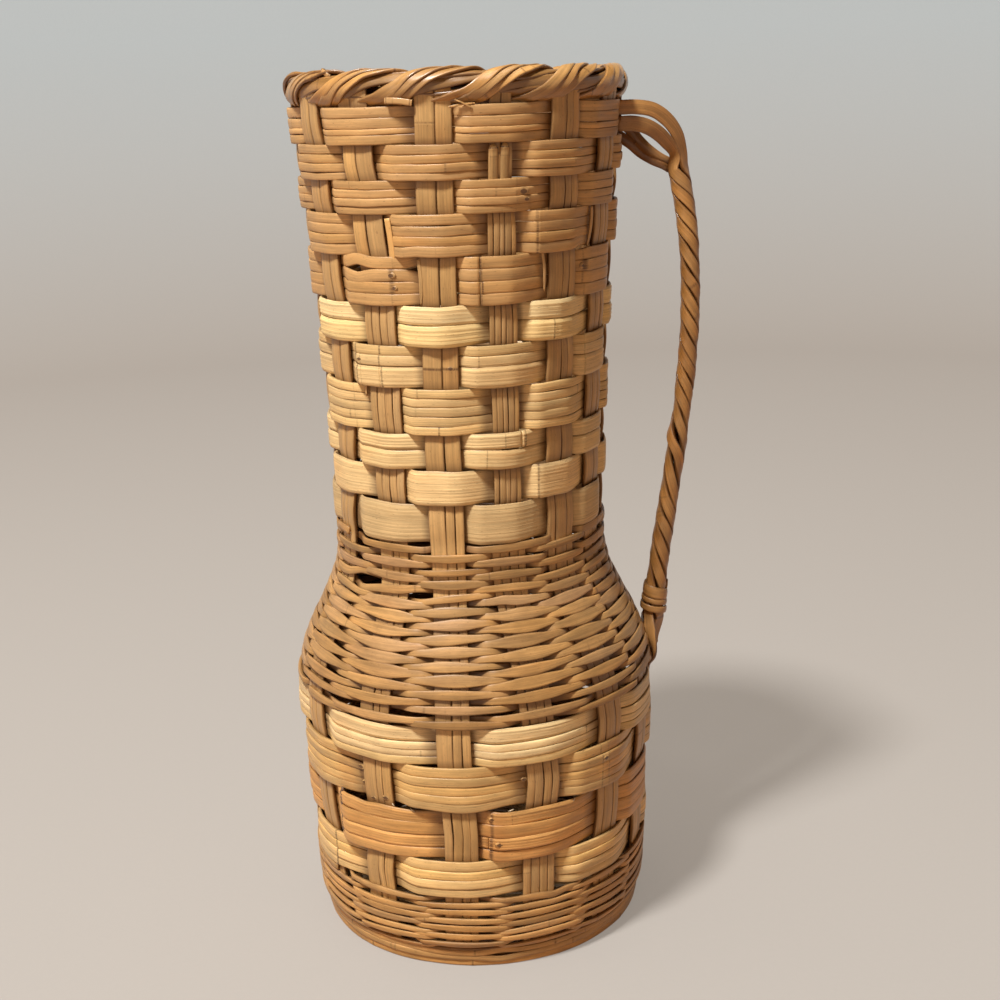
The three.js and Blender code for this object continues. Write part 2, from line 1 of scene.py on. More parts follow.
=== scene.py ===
# %% [markdown]
# # A woven cane vase in the shape of a pitcher
# The vase is basket work: flat stakes of split cane stand up from a plaited base, and bands and fine
# canes go round them, over one stake and under the next. A rope border ends it at the top, and four
# strips twisted together make the long handle. Every visible piece is a bundle of single canes, so the
# whole scene rests on one idea: a cane is a crowned section carried along a path.

# %% Load the measured frame
import math

import bpy
import numpy as np
from mathutils import Matrix, Vector


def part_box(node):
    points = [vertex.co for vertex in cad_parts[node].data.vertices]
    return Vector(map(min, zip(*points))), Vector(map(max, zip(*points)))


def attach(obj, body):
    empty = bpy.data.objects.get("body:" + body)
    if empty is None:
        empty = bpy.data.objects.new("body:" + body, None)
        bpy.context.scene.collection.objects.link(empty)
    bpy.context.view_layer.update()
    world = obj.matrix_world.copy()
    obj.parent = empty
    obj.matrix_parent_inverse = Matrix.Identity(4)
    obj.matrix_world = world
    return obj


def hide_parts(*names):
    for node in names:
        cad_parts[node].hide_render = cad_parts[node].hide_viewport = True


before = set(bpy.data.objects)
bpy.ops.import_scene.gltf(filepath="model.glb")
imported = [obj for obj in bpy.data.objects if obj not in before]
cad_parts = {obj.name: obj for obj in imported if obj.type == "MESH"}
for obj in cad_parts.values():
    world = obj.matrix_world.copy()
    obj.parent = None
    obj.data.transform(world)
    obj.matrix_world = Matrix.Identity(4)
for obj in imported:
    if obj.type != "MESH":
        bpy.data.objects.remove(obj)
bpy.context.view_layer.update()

# %% [markdown]
# ## The wall of the vase
# All canes lie on one wall: a line that runs out along the bottom, round the heel and up the side, turned
# about an upright axis. A place on the wall is a distance along that line and an azimuth, which is 0
# degrees at the front and 90 on the side of the handle. Working on the wall keeps every weaver
# at its true layer, in front of a stake or behind it, however the vase swells and narrows.

# %% The axis and the driving sizes
MM = 0.001
ring_low, ring_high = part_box("foot_ring")
AXIS = np.array([(ring_low.x + ring_high.x) / 2, (ring_low.y + ring_high.y) / 2, 0.0])
FOOT_HEIGHT = ring_high.z

STAKE_THICKNESS = 2.2 * MM
STAKE_WIDTH = 20 * MM
BASE_LEVEL = FOOT_HEIGHT + 3.85 * MM
FAN_RADIUS = 62.3 * MM
HEEL_RADIUS = 98 * MM
HEEL_BEND = 10 * MM
HEEL_TOP_RADIUS = 99.3 * MM
BELLY_RADIUS = 104 * MM
NECK_RADIUS = 76.3 * MM
NECK_BOW_RADIUS = 78.2 * MM
MOUTH_RADIUS = 90.2 * MM
print("axis at", np.round(AXIS, 5), "foot", round(FOOT_HEIGHT, 5))

# %% The levels of the rows, from the ground up
BODY_BAND_HEIGHTS = np.array([22.5, 31.5, 27.5, 22.5]) * MM
NECK_BAND_HEIGHTS = np.array([22.5, 19.5, 20, 25, 23, 21.5, 25.5, 22, 17, 18, 19]) * MM
HEEL_TOP = 47 * MM
SHOULDER_HEIGHT = 97 * MM
SHOULDER_CURVE = 81 * MM
body_levels = HEEL_TOP + np.concatenate([[0], np.cumsum(BODY_BAND_HEIGHTS)])
BODY_TOP = body_levels[-1]
SHOULDER_TOP = BODY_TOP + SHOULDER_HEIGHT
neck_levels = SHOULDER_TOP + np.concatenate([[0], np.cumsum(NECK_BAND_HEIGHTS)])
NECK_TOP = neck_levels[-1]
print("tops of body, shoulder and neck:", np.round([BODY_TOP, SHOULDER_TOP, NECK_TOP], 4))


# %% The wall as a line of distances, radii and heights
WALL_STEP = 2 * MM
WALL_ABOVE_NECK = 12 * MM
BOTTOM_POINTS = 12
HEEL_POINTS = 14


def smooth(t):
    """From 0 to 1, level at both ends."""
    t = np.clip(t, 0, 1)
    return t * t * (3 - 2 * t)


def mix(a, b, t):
    return a + (b - a) * t


def radius_at_height(z):
    heel_share = (z - BASE_LEVEL - HEEL_BEND) / (HEEL_TOP - BASE_LEVEL - HEEL_BEND)
    up_heel = mix(HEEL_RADIUS, HEEL_TOP_RADIUS, np.clip(heel_share, 0, 1))
    belly = mix(up_heel, BELLY_RADIUS, smooth((z - HEEL_TOP) / (BODY_TOP - HEEL_TOP)))
    shoulder = mix(belly, NECK_RADIUS, smooth((z - BODY_TOP) / SHOULDER_CURVE))
    t = np.clip((z - SHOULDER_TOP) / (NECK_TOP - SHOULDER_TOP), 0, None)
    neck = mix(mix(NECK_RADIUS, NECK_BOW_RADIUS, t), mix(NECK_BOW_RADIUS, MOUTH_RADIUS, t), t)
    return np.where(z < SHOULDER_TOP, shoulder, neck)


def wall_line():
    bottom = np.linspace(FAN_RADIUS, HEEL_RADIUS - HEEL_BEND, BOTTOM_POINTS)[:-1]
    turn = np.linspace(0, math.pi / 2, HEEL_POINTS)
    bend_r = HEEL_RADIUS - HEEL_BEND + HEEL_BEND * np.sin(turn)
    bend_z = BASE_LEVEL + HEEL_BEND - HEEL_BEND * np.cos(turn)
    upright = np.arange(BASE_LEVEL + HEEL_BEND + WALL_STEP, NECK_TOP + WALL_ABOVE_NECK, WALL_STEP)
    r = np.concatenate([bottom, bend_r, radius_at_height(upright)])
    z = np.concatenate([np.full(len(bottom), BASE_LEVEL), bend_z, upright])
    return r, z


WALL_R, WALL_Z = wall_line()
WALL_S = np.concatenate([[0], np.cumsum(np.hypot(np.diff(WALL_R), np.diff(WALL_Z)))])
WALL_LEAN = np.arctan2(-np.gradient(WALL_R, WALL_S), np.gradient(WALL_Z, WALL_S))


def distance_at_height(z):
    rising = WALL_Z > BASE_LEVEL
    return np.interp(z, WALL_Z[rising], WALL_S[rising])


def wall_at(s):
    """Radius, height and lean of the wall at a distance along it."""
    return np.interp(s, WALL_S, WALL_R), np.interp(s, WALL_S, WALL_Z), np.interp(s, WALL_S, WALL_LEAN)


print("wall is", round(WALL_S[-1], 4), "m long from the plaited square to the rim")


# %% Directions, and a place on the wall
def outward(azimuth):
    return np.stack([np.sin(azimuth), -np.cos(azimuth), np.zeros_like(azimuth)], axis=-1)


def sideways(azimuth):
    return np.stack([np.cos(azimuth), np.sin(azimuth), np.zeros_like(azimuth)], axis=-1)


UP = np.array([0.0, 0.0, 1.0])


def on_wall(s, azimuth, off):
    """Places at a distance off the wall, with the directions out of it, up along it and sideways."""
    s, azimuth, off = np.broadcast_arrays(*(np.asarray(v, float) for v in (s, azimuth, off)))
    r, z, lean = wall_at(s)
    away = outward(azimuth)
    out = away * np.cos(lean)[:, None] + UP * np.sin(lean)[:, None]
    rise = -away * np.sin(lean)[:, None] + UP * np.cos(lean)[:, None]
    place = AXIS + away * r[:, None] + UP * z[:, None] + out * off[:, None]
    return place, out, rise, sideways(azimuth)


print("the front of the belly is at", np.round(on_wall(distance_at_height([BODY_TOP]), [0.0], 0.0)[0][0], 4))

# %% [markdown]
# ## Where the stakes stand
# Fourteen stakes stand evenly round the belly. In the neck the six at the front stand a little closer than
# the others. None of them is straight: a weaver pulls a stake to one side or lets it lean, and the eye
# knows hand work by that. A random lean would do for most baskets. Here each stake of the front has a short
# list of leans, so that it wanders at the heights where the real one does.

# %% The stakes round the vase
STAKES = 14
FIRST_STAKE = -59.0
FRONT_STAKES = 6
FRONT_PITCH = 24.5
HANDLE_STAKE = 6

# %% Leans: for each stake of the front, (height in m, degrees towards the handle)
STAKE_LEANS = {
    0: ((0.02, 0.0), (0.085, -3.4), (0.14, -4.2), (0.18, -5.5), (0.222, -8.0),
        (0.2555, -6.5), (0.303, -0.8), (0.347, 1.2), (0.40, 0.8), (0.48, 0.0)),
    1: ((0.02, -2.2), (0.058, -2.7), (0.10, -0.3), (0.27, 0.5),
        (0.32, 1.0), (0.38, 1.8), (0.415, 0.4), (0.453, -1.1)),
    2: ((0.03, 0.0), (0.085, 1.3), (0.13, 0.0), (0.30, 0.0),
        (0.346, 0.5), (0.392, 1.1), (0.435, 1.6), (0.47, 2.3)),
    3: ((0.06, 0.3), (0.115, 1.9), (0.16, 0.0), (0.27, 1.0), (0.35, 0.3), (0.45, -0.5)),
    4: ((0.04, 1.5), (0.085, 2.5), (0.14, 2.3), (0.19, 0.5),
        (0.25, 1.6), (0.30, 0.8), (0.43, 0.0), (0.47, -0.9)),
}


def stake_azimuths(z):
    """The azimuths of all stakes at some heights, leans included, in radians."""
    k = np.arange(STAKES)
    in_body = FIRST_STAKE + k * 360 / STAKES
    back_pitch = (360 - (FRONT_STAKES - 1) * FRONT_PITCH) / (STAKES - FRONT_STAKES + 1)
    past = np.maximum(0, k - FRONT_STAKES + 1)
    in_neck = FIRST_STAKE + (k - past) * FRONT_PITCH + past * back_pitch
    z = np.atleast_1d(z)
    even = mix(in_body, in_neck, smooth((z - BODY_TOP) / SHOULDER_HEIGHT)[:, None])
    for stake, leans in STAKE_LEANS.items():
        heights, degrees = zip(*leans)
        even[:, stake] += np.interp(z, heights, degrees)
    return np.radians(even)


def stake_azimuth(k, z):
    return stake_azimuths(z)[:, k % STAKES]


def azimuth_of_count(count, z):
    """The azimuth where a weaver at height z has passed that many stakes, fractions included."""
    count = np.asarray(count, float)
    table = stake_azimuths(np.broadcast_to(z, count.shape))
    lower = np.floor(count).astype(int)
    rows = np.arange(len(count))
    turn = 2 * math.pi
    here = table[rows, lower % STAKES] + turn * (lower // STAKES)
    after = table[rows, (lower + 1) % STAKES] + turn * ((lower + 1) // STAKES)
    return mix(here, after, count - lower)


print("stakes in the neck at", np.round(np.degrees(stake_azimuths(NECK_TOP))[0], 1))

# %% [markdown]
# ## A cane, and a bundle of canes
# Split cane has a flat back where it was split and a crowned face with the bark. A sweep of a curve with
# a bevel could draw it, but then each cane twists by itself and its ends are cut square. Here the section
# is laid along measured places, each with its own directions, width and thickness. Three measures
# are kept on every point for the finish: how far along the cane it lies and how far across, the cane's
# own colour, and where its joints, its edges and its hidden parts are.

# %% Sections: points from edge to edge over the crown, then the flat back
def crowned_section(steps, shoulder, fullness):
    turn = np.linspace(0, math.pi, steps + 1)
    crown = np.stack([np.cos(turn), shoulder + (1 - shoulder) * np.sin(turn) ** fullness], axis=1)
    back = np.array([[-0.9, -1.0], [0.9, -1.0]])
    return np.concatenate([crown, back])


def ribbed_section(ribs, depth, steps_per_rib=4):
    """A broad strip: nearly flat, with fine ribs along it. Depth is a share of half the thickness."""
    a = np.cos(np.linspace(0, math.pi, ribs * steps_per_rib + 1))
    edge = 1 - np.abs(a) ** 6
    crown = np.stack([a, -0.3 + 1.3 * edge ** 0.6 + depth * edge * np.cos(math.pi * ribs * (a + 1))], axis=1)
    back = np.array([[-0.93, -1.0], [0.93, -1.0]])
    return np.concatenate([crown, back])


CANE = crowned_section(10, 0.4, 0.5)
FINE_CANE = crowned_section(8, 0.42, 0.55)
FLAT_CANE = crowned_section(8, 0.1, 0.55)
ROUND_TURN = np.linspace(0, 2 * math.pi, 15)[:-1]
ROUND_CANE = np.stack([np.cos(ROUND_TURN), np.sin(ROUND_TURN)], axis=1)
print("sections hold", len(CANE), len(FINE_CANE), len(FLAT_CANE), "points")


# %% Small irregularities, seeded by name so that each run gives the same vase
SEED_BASE = 131
SEED_LIMIT = 2147483647
OCTAVES = 3
OCTAVE_STEP = 1.7
OCTAVE_FADE = 1.6
WOBBLE_SCALE = 0.6


def dice(*words):
    """A source of random numbers that is always the same for the same words."""
    seed = 0
    for letter in " ".join(str(w) for w in words):
        seed = (seed * SEED_BASE + ord(letter)) % SEED_LIMIT
    return np.random.default_rng(seed)


def wobble(x, size, wave, rng):
    """A smooth wander along x: size is its typical reach and wave its longest wavelength."""
    total = np.zeros_like(x)
    for i in range(OCTAVES):
        start = rng.uniform(0, 2 * math.pi)
        total += np.sin(x / wave * 2 * math.pi * OCTAVE_STEP ** i + start) / OCTAVE_FADE ** i
    return size * total * WOBBLE_SCALE


print("the first wobble:", np.round(wobble(np.linspace(0, 1, 5), 1.0, 1.0, dice("first")), 2))


# %% Directions of length one, and rows of an array between its stations
def unit(v):
    return v / np.maximum(np.linalg.norm(v, axis=-1, keepdims=True), 1e-12)


def sampled(values, at):
    """Rows of an array at fractional stations."""
    low = np.minimum(np.floor(at).astype(int), len(values) - 2)
    t = at - low
    if values.ndim > 1:
        t = t[:, None]
    return mix(values[low], values[low + 1], t)


print("half-way between 2 and 4 lies", sampled(np.array([2.0, 4.0, 8.0]), np.array([0.5]))[0])


# %% Joints: rings where a leaf once grew, with stations of their own so that they stay sharp
RING_STEPS = np.array([-2.6, -1.6, -0.9, -0.4, 0.0, 0.4, 0.9, 1.6, 2.6])
STATION_PARTS = 25
JOINT_SWELL = 0.5 * MM
JOINT_SWELL_REACH = 2.2


def with_ring_stations(n, along, rings):
    """The n stations of a cane and those of its rings, rounded so that none lie too close together."""
    at = [np.arange(n)]
    for where, _, half in rings:
        at.append(np.interp(where + half * RING_STEPS, along, np.arange(n)))
    return np.unique(np.round(np.concatenate(at) * STATION_PARTS)) / STATION_PARTS


def near_ring(along, where, reach):
    """1 at a ring, fading out over its reach."""
    return np.exp(-(((along - where) / reach) ** 2))


print("a ring has", len(RING_STEPS), "stations")


# %% The bundle: canes that become one object
made = []


class Bundle:
    """Canes gathered into one mesh, with the measures that the finish reads."""

    def __init__(self):
        self.points, self.faces, self.grain, self.colour, self.marks = [], [], [], [], []
        self.count = 0
        self.canes = 0

    def lay(self, place, across, out, width, thick, section, colour, joints=(), seed=0.0, depth=0.0):
        """One cane. Joints are (station, strength, half width), depth is 1 where the cane is hidden, and
        there the finish paints shade.
        """
        n = len(place)
        m = len(section)
        width, thick, depth = (np.broadcast_to(np.asarray(v, float), (n,)) for v in (width, thick, depth))
        colour = np.broadcast_to(np.asarray(colour, float), (n, 3))
        along = np.concatenate([[0], np.cumsum(np.linalg.norm(np.diff(place, axis=0), axis=1))])
        rings = [(float(np.interp(station, np.arange(n), along)), strength, half)
                 for station, strength, half in joints if 0 < station < n - 1]
        at = with_ring_stations(n, along, rings)
        place, across, out, width, thick, depth, colour, along = (
            sampled(v, at) for v in (place, across, out, width, thick, depth, colour, along))
        n = len(at)
        joint = np.zeros(n)
        for where, strength, half in rings:
            joint = np.maximum(joint, strength * near_ring(along, where, half))
            thick = thick + JOINT_SWELL * strength * near_ring(along, where, JOINT_SWELL_REACH * half)
        travel = unit(np.gradient(place, axis=0))
        out = unit(out - travel * np.sum(out * travel, axis=-1, keepdims=True))
        flat = np.cross(out, travel)
        across = flat * np.sign(np.sum(flat * across, axis=-1, keepdims=True))
        a = section[None, :, 0] * width[:, None] / 2
        b = section[None, :, 1] * thick[:, None] / 2
        ring = place[:, None] + across[:, None] * a[..., None] + out[:, None] * b[..., None]
        i = np.arange(n - 1)[:, None] * m
        j = np.arange(m)[None, :]
        k = (j + 1) % m
        quads = np.stack([i + j, i + k, i + m + k, i + m + j], axis=-1).reshape(-1, 4) + self.count
        if np.dot(np.cross(across[0], out[0]), travel[0]) < 0:
            quads = quads[:, ::-1]
            caps = [np.arange(m), np.arange(m)[::-1] + (n - 1) * m]
        else:
            caps = [np.arange(m)[::-1], np.arange(m) + (n - 1) * m]
        full = np.ones((n, m))
        # edge is 1 at the sides of a cane and on its flat back: the finish darkens it with dirt and with
        # painted shade
        edge = np.abs(section[None, :, 0]) ** 6 * full
        edge = np.where(section[None, :, 1] < -0.9, 1.0, edge)
        grain = np.stack([along[:, None] * full, a, full * seed], axis=-1)
        marks = np.stack([joint[:, None] * full, edge, depth[:, None] * full], axis=-1)
        own = np.concatenate([np.repeat(colour[:, None], m, 1), full[..., None]], axis=-1)
        self.points.append(ring.reshape(-1, 3))
        self.faces += quads.tolist() + [(c + self.count).tolist() for c in caps]
        self.grain.append(grain.reshape(-1, 3))
        self.marks.append(marks.reshape(-1, 3))
        self.colour.append(own.reshape(-1, 4))
        self.count += n * m
        self.canes += 1

    def make(self, name, finish, nodes):
        """The object of this bundle, which stands for CAD nodes and rides on the one body."""
        mesh = bpy.data.meshes.new(name)
        mesh.from_pydata(np.concatenate(self.points).tolist(), [], self.faces)
        for label, kind, key, rows in (
            ("grain", "FLOAT_VECTOR", "vector", self.grain),
            ("marks", "FLOAT_VECTOR", "vector", self.marks),
            ("cane_colour", "FLOAT_COLOR", "color", self.colour),
        ):
            layer = mesh.attributes.new(label, kind, "POINT")
            layer.data.foreach_set(key, np.concatenate(rows).astype(np.float32).ravel())
        mesh.shade_smooth()
        mesh.materials.append(finish)
        piece = bpy.data.objects.new(name, mesh)
        bpy.context.scene.collection.objects.link(piece)
        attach(piece, "root")
        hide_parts(*nodes)
        made.append((name, self.canes, len(mesh.polygons)))


print("a bundle starts with", Bundle().canes, "canes")

# %% [markdown]
# ## Finishes
# Peeled cane is a warm straw colour with fine fibres along it, a soft shine, darker rings at its joints
# and dirt where two canes touch; painted shade darkens those places further. Wood grain from a picture
# would not follow each cane as it weaves, so the grain is worked out from the measures kept on the
# canes: noise stretched along the length gives the fibres and ribs, which stand out a little, and a
# slower noise the stains. The marks darken the joints in their own colour, the edges and backs with
# dirt and painted shade, and the hidden parts with painted shade, and the joints are pressed in as well.

# %% Colours in a maker's words
def from_screen(red, green, blue):
    """A colour as seen on a screen, 0 to 255, in the linear values that a shader takes."""
    c = np.array([red, green, blue]) / 255
    return np.where(c <= 0.04045, c / 12.92, ((c + 0.055) / 1.055) ** 2.4)


HONEY = from_screen(200, 156, 98)
WARM_TAN = from_screen(204, 161, 105)
BODY_TAN = from_screen(206, 168, 108)
STRAW = from_screen(222, 188, 130)
PALE_STRAW = from_screen(232, 201, 146)
ORANGE_TAN = from_screen(210, 159, 94)
STAKE_TAN = from_screen(197, 157, 101)
DULL_TAN = from_screen(188, 148, 104)
BARK = from_screen(186, 138, 80)
BROWN_BARK = from_screen(165, 116, 62)
JOINT_BROWN = from_screen(84, 48, 22)
# a brown for scratches, specks and edge dirt, also used as painted shade at the edges and on hidden parts
DIRT_AND_SHADE_BROWN = from_screen(96, 58, 28)
BLUSH = (0.86, 0.70, 0.56)


def tinted(colour, rng, spread=0.06, warmth=0.03):
    """A cane's own tone: a little lighter or darker, and a little redder or greener."""
    lift = 1 + rng.normal(0, spread)
    warm = rng.normal(0, warmth)
    return np.clip(colour * lift * np.array([1 + warm * 0.5, 1, 1 - warm * 1.5]), 0.01, 0.95)


print("straw in linear values", np.round(STRAW, 3))


# %% A small kit for node trees
MIX_FACTOR, MIX_FIRST, MIX_SECOND, MIX_COLOUR = 0, 6, 7, 2


def with_alpha(colour):
    return (*[float(v) for v in colour[:3]], 1.0)


class Tree:
    """Adds shader nodes by name and joins them. The colour sockets of a mix node share
    their names with others, so they are picked by number."""

    def __init__(self, material):
        material.use_nodes = True
        self.tree = material.node_tree
        self.tree.nodes.clear()

    def node(self, kind, **settings):
        made_node = self.tree.nodes.new(kind)
        for key, value in settings.items():
            setattr(made_node, key, value)
        return made_node

    def join(self, source, socket):
        self.tree.links.new(source, socket)

    def maths(self, operation, first, second):
        step = self.node("ShaderNodeMath", operation=operation)
        for socket, value in zip(step.inputs, (first, second)):
            if isinstance(value, (int, float)):
                socket.default_value = value
            else:
                self.join(value, socket)
        return step.outputs[0]

    def noise(self, vector, scale, detail, roughness):
        step = self.node("ShaderNodeTexNoise")
        step.inputs["Scale"].default_value = scale
        step.inputs["Detail"].default_value = detail
        step.inputs["Roughness"].default_value = roughness
        self.join(vector, step.inputs["Vector"])
        return step.outputs["Fac"]

    def ranged(self, value, low, high, to_low, to_high):
        step = self.node("ShaderNodeMapRange", clamp=True)
        for socket, number in zip(step.inputs[1:5], (low, high, to_low, to_high)):
            socket.default_value = number
        self.join(value, step.inputs[0])
        return step.outputs[0]

    def stretched(self, vector, x, y, z):
        step = self.node("ShaderNodeVectorMath", operation="MULTIPLY")
        self.join(vector, step.inputs[0])
        step.inputs[1].default_value = (x, y, z)
        return step.outputs[0]

    def blend_tint(self, colour, tint):
        step = self.node("ShaderNodeMix", data_type="RGBA", blend_type="MULTIPLY")
        step.inputs[MIX_FACTOR].default_value = 1.0
        self.join(colour, step.inputs[MIX_FIRST])
        step.inputs[MIX_SECOND].default_value = with_alpha(tint)
        return step.outputs[MIX_COLOUR]

    def blend(self, factor, first, second):
        step = self.node("ShaderNodeMix", data_type="RGBA", blend_type="MIX")
        self.join(factor, step.inputs[MIX_FACTOR])
        for number, value in ((MIX_FIRST, first), (MIX_SECOND, second)):
            if isinstance(value, (tuple, list, np.ndarray)):
                step.inputs[number].default_value = with_alpha(value)
            else:
                self.join(value, step.inputs[number])
        return step.outputs[MIX_COLOUR]


print("a colour for a socket:", [round(v, 3) for v in with_alpha(STRAW)])


# %% The cane finish
SEED_STEP = 31.0
BUMP_DEPTH = 0.16 * MM


def cane_finish(name, ribs_per_mm, fibre, stain, shine, coat, grime_and_shade=0.6):
    """Fibre and stain are the strength of fine and broad changes of tone, shine is the roughness, and
    grime_and_shade how much the edges and backs darken with dirt and painted shade.
    """
    material = bpy.data.materials.new(name)
    t = Tree(material)
    grain = t.node("ShaderNodeAttribute", attribute_name="grain").outputs["Vector"]
    colour = t.node("ShaderNodeAttribute", attribute_name="cane_colour").outputs["Color"]
    marks = t.node("ShaderNodeSeparateXYZ")
    t.join(t.node("ShaderNodeAttribute", attribute_name="marks").outputs["Vector"], marks.inputs[0])
    joint, edge, depth = marks.outputs

    fibres = t.noise(t.stretched(grain, 26, 2300, SEED_STEP), 1.0, 3, 0.62)
    stripes = t.noise(t.stretched(grain, 9, 900 * ribs_per_mm, SEED_STEP), 1.0, 1.5, 0.5)
    stains = t.noise(t.stretched(grain, 55, 190, SEED_STEP), 1.0, 3, 0.6)
    specks = t.noise(t.stretched(grain, 420, 2600, SEED_STEP), 1.0, 1, 0.5)
    blotches = t.noise(t.stretched(grain, 21, 60, SEED_STEP), 1.0, 2, 0.5)
    scratches = t.noise(t.stretched(grain, 45, 2100, SEED_STEP), 1.0, 2, 0.7)

    # fibres, stripes and stains make the cane's own colour lighter and darker
    light = t.ranged(fibres, 0.3, 0.7, 1 - fibre, 1 + fibre)
    light = t.maths("MULTIPLY", light, t.ranged(stripes, 0.32, 0.68, 1 - fibre * 1.1, 1 + fibre * 0.8))
    light = t.maths("MULTIPLY", light, t.ranged(stains, 0.3, 0.7, 1 - stain, 1 + stain * 0.7))
    base = t.blend(t.maths("MULTIPLY", light, 0.5), (0, 0, 0), colour)
    doubled = t.node("ShaderNodeVectorMath", operation="SCALE")
    t.join(base, doubled.inputs[0])
    doubled.inputs["Scale"].default_value = 2.0
    base = doubled.outputs[0]

    # warm blotches, scratches, specks, dirt and painted shade at the edges and backs, joints, and painted
    # shade on the hidden parts
    base = t.blend(t.ranged(blotches, 0.52, 0.78, 0.0, 0.5), base, t.blend_tint(base, BLUSH))
    base = t.blend(t.ranged(scratches, 0.64, 0.76, 0.0, 0.55), base, DIRT_AND_SHADE_BROWN)
    base = t.blend(t.ranged(specks, 0.69, 0.77, 0.0, 0.6), base, DIRT_AND_SHADE_BROWN)
    # dirt and painted shade at the sides and backs of the canes, where they touch and lie on others
    dirt_and_shade = t.maths("MULTIPLY", t.ranged(edge, 0.3, 1.0, 0.0, grime_and_shade), t.ranged(stains, 0.2, 0.7, 1.0, 0.6))
    base = t.blend(dirt_and_shade, base, DIRT_AND_SHADE_BROWN)
    rough_joint = t.maths("MULTIPLY", joint, t.ranged(fibres, 0.35, 0.65, 0.45, 1.2))
    base = t.blend(t.ranged(rough_joint, 0.25, 0.9, 0.0, 0.85), base, JOINT_BROWN)
    # painted shade where the cane lies hidden behind a stake or another cane
    base = t.blend(t.maths("MULTIPLY", depth, 0.68), base, DIRT_AND_SHADE_BROWN)

    # ribs stand out and joints lie deep
    height = t.maths("MULTIPLY", fibres, 0.45)
    height = t.maths("ADD", height, t.maths("MULTIPLY", stripes, 0.8))
    height = t.maths("SUBTRACT", height, t.maths("MULTIPLY", rough_joint, 1.2))
    bump = t.node("ShaderNodeBump")
    bump.inputs["Strength"].default_value = 0.8
    bump.inputs["Distance"].default_value = BUMP_DEPTH
    t.join(height, bump.inputs["Height"])

    shader = t.node("ShaderNodeBsdfPrincipled")
    shader.inputs["Coat Weight"].default_value = coat
    shader.inputs["Coat Roughness"].default_value = 0.28
    shader.inputs["Specular IOR Level"].default_value = 0.45
    t.join(base, shader.inputs["Base Color"])
    t.join(t.ranged(stains, 0.3, 0.7, shine - 0.06, shine + 0.12), shader.inputs["Roughness"])
    t.join(bump.outputs[0], shader.inputs["Normal"])
    result = t.node("ShaderNodeOutputMaterial")
    t.join(shader.outputs[0], result.inputs["Surface"])
    return material


# name, ribs per mm, fibre, stain, shine, coat, and grime with painted shade at the edges
STAKE_FINISH = cane_finish("stake_cane_finish", 0.9, 0.12, 0.14, 0.42, 0.12, 0.75)
BODY_FINISH = cane_finish("body_band_finish", 0.8, 0.13, 0.18, 0.42, 0.08)
NECK_FINISH = cane_finish("neck_band_finish", 0.8, 0.11, 0.16, 0.44, 0.07)
PALE_FINISH = cane_finish("pale_band_finish", 1.6, 0.13, 0.12, 0.48, 0.05)
FINE_FINISH = cane_finish("fine_cane_finish", 0.7, 0.16, 0.24, 0.46, 0.06)
RIM_FINISH = cane_finish("rim_cane_finish", 0.7, 0.12, 0.20, 0.32, 0.30, 0.80)
HANDLE_FINISH = cane_finish("handle_cane_finish", 0.9, 0.15, 0.22, 0.36, 0.20, 0.85)
print("finishes:", [m.name for m in bpy.data.materials if m.name.endswith("_finish")])

# %% [markdown]
# ## Rows and their turn
# Whether a band goes over a stake depends on its row and the stake: they take turns like the black and
# white fields of a board. A plain sine wave would draw the same soft arch over every stake. A real band
# comes out steeply beside one stake, lies flat over the next and goes back in slowly, so its wave is put
# together from a fast rise and a slow fall. The stakes answer the bands a little: where a band lies in
# front, the stake is pushed in, and where it lies behind, the stake swells out. That swing is what makes
# the short visible lengths of the stakes catch the light.

# %% Over or under
BODY_ROWS = [4, 3, 2, 1]
NECK_ROWS = list(range(11, 0, -1))
row_bottoms = np.concatenate([body_levels[:-1], neck_levels[:-1]])
row_tops = np.concatenate([body_levels[1:], neck_levels[1:]])
row_numbers = np.array(BODY_ROWS + NECK_ROWS)
STAKE_SWING = 0.85 * MM
COMING_LEAD = 0.05
COMING_REACH = 0.36
GOING_LAG = 0.04
GOING_CUT = 0.06
GOING_SMOOTHNESS = 0.4


def over_and_under(count, row, edge):
    """1 in front of a stake and -1 behind one. A band comes out steeply and goes back in slowly.
    Edge is where the next stake begins, as a share of the pitch."""
    x = (count + row + 1) % 2 - 1
    coming = smooth((x + edge + COMING_LEAD) / COMING_REACH)
    going = np.clip((edge + GOING_LAG - x) / (edge - GOING_CUT), 0, 1)
    going = mix(going, smooth(going), GOING_SMOOTHNESS)
    return 2 * np.minimum(coming, going) - 1


def stake_swing(k, z):
    """How far stake k is pushed out at some heights by the bands that cross it."""
    swing = np.zeros_like(z)
    for low, high, row in zip(row_bottoms, row_tops, row_numbers):
        inside = (z >= low) & (z < high)
        behind = -1 if (row + k) % 2 == 0 else 1
        swing = np.where(inside, behind * np.sin(math.pi * (z - low) / (high - low)), swing)
    return STAKE_SWING * swing


SHADE_REACH = 2.2 * MM
SHOULDER_SHADE = 0.8
SHOULDER_SHADE_TOP = 0.68
SHOULDER_SHADE_FADE = 0.08


def crossed(k, z):
    """Painted shade on stake k: 1 where a band lies over it, fading out over a few millimetres beside it,
    and nearly as much in the lower part of the shoulder, where the fine canes leave only narrow slots."""
    share = np.zeros_like(z)
    for low, high, row in zip(row_bottoms, row_tops, row_numbers):
        if (row + k) % 2 == 0:
            outside = np.maximum(np.maximum(low - z, z - high), 0)
            share = np.maximum(share, np.exp(-((outside / SHADE_REACH) ** 2)))
    in_shoulder = (z - BODY_TOP) / SHOULDER_HEIGHT
    coming = smooth(in_shoulder / SHOULDER_SHADE_FADE)
    going = smooth((SHOULDER_SHADE_TOP - in_shoulder) / SHOULDER_SHADE_FADE)
    return np.maximum(share, SHOULDER_SHADE * coming * going)


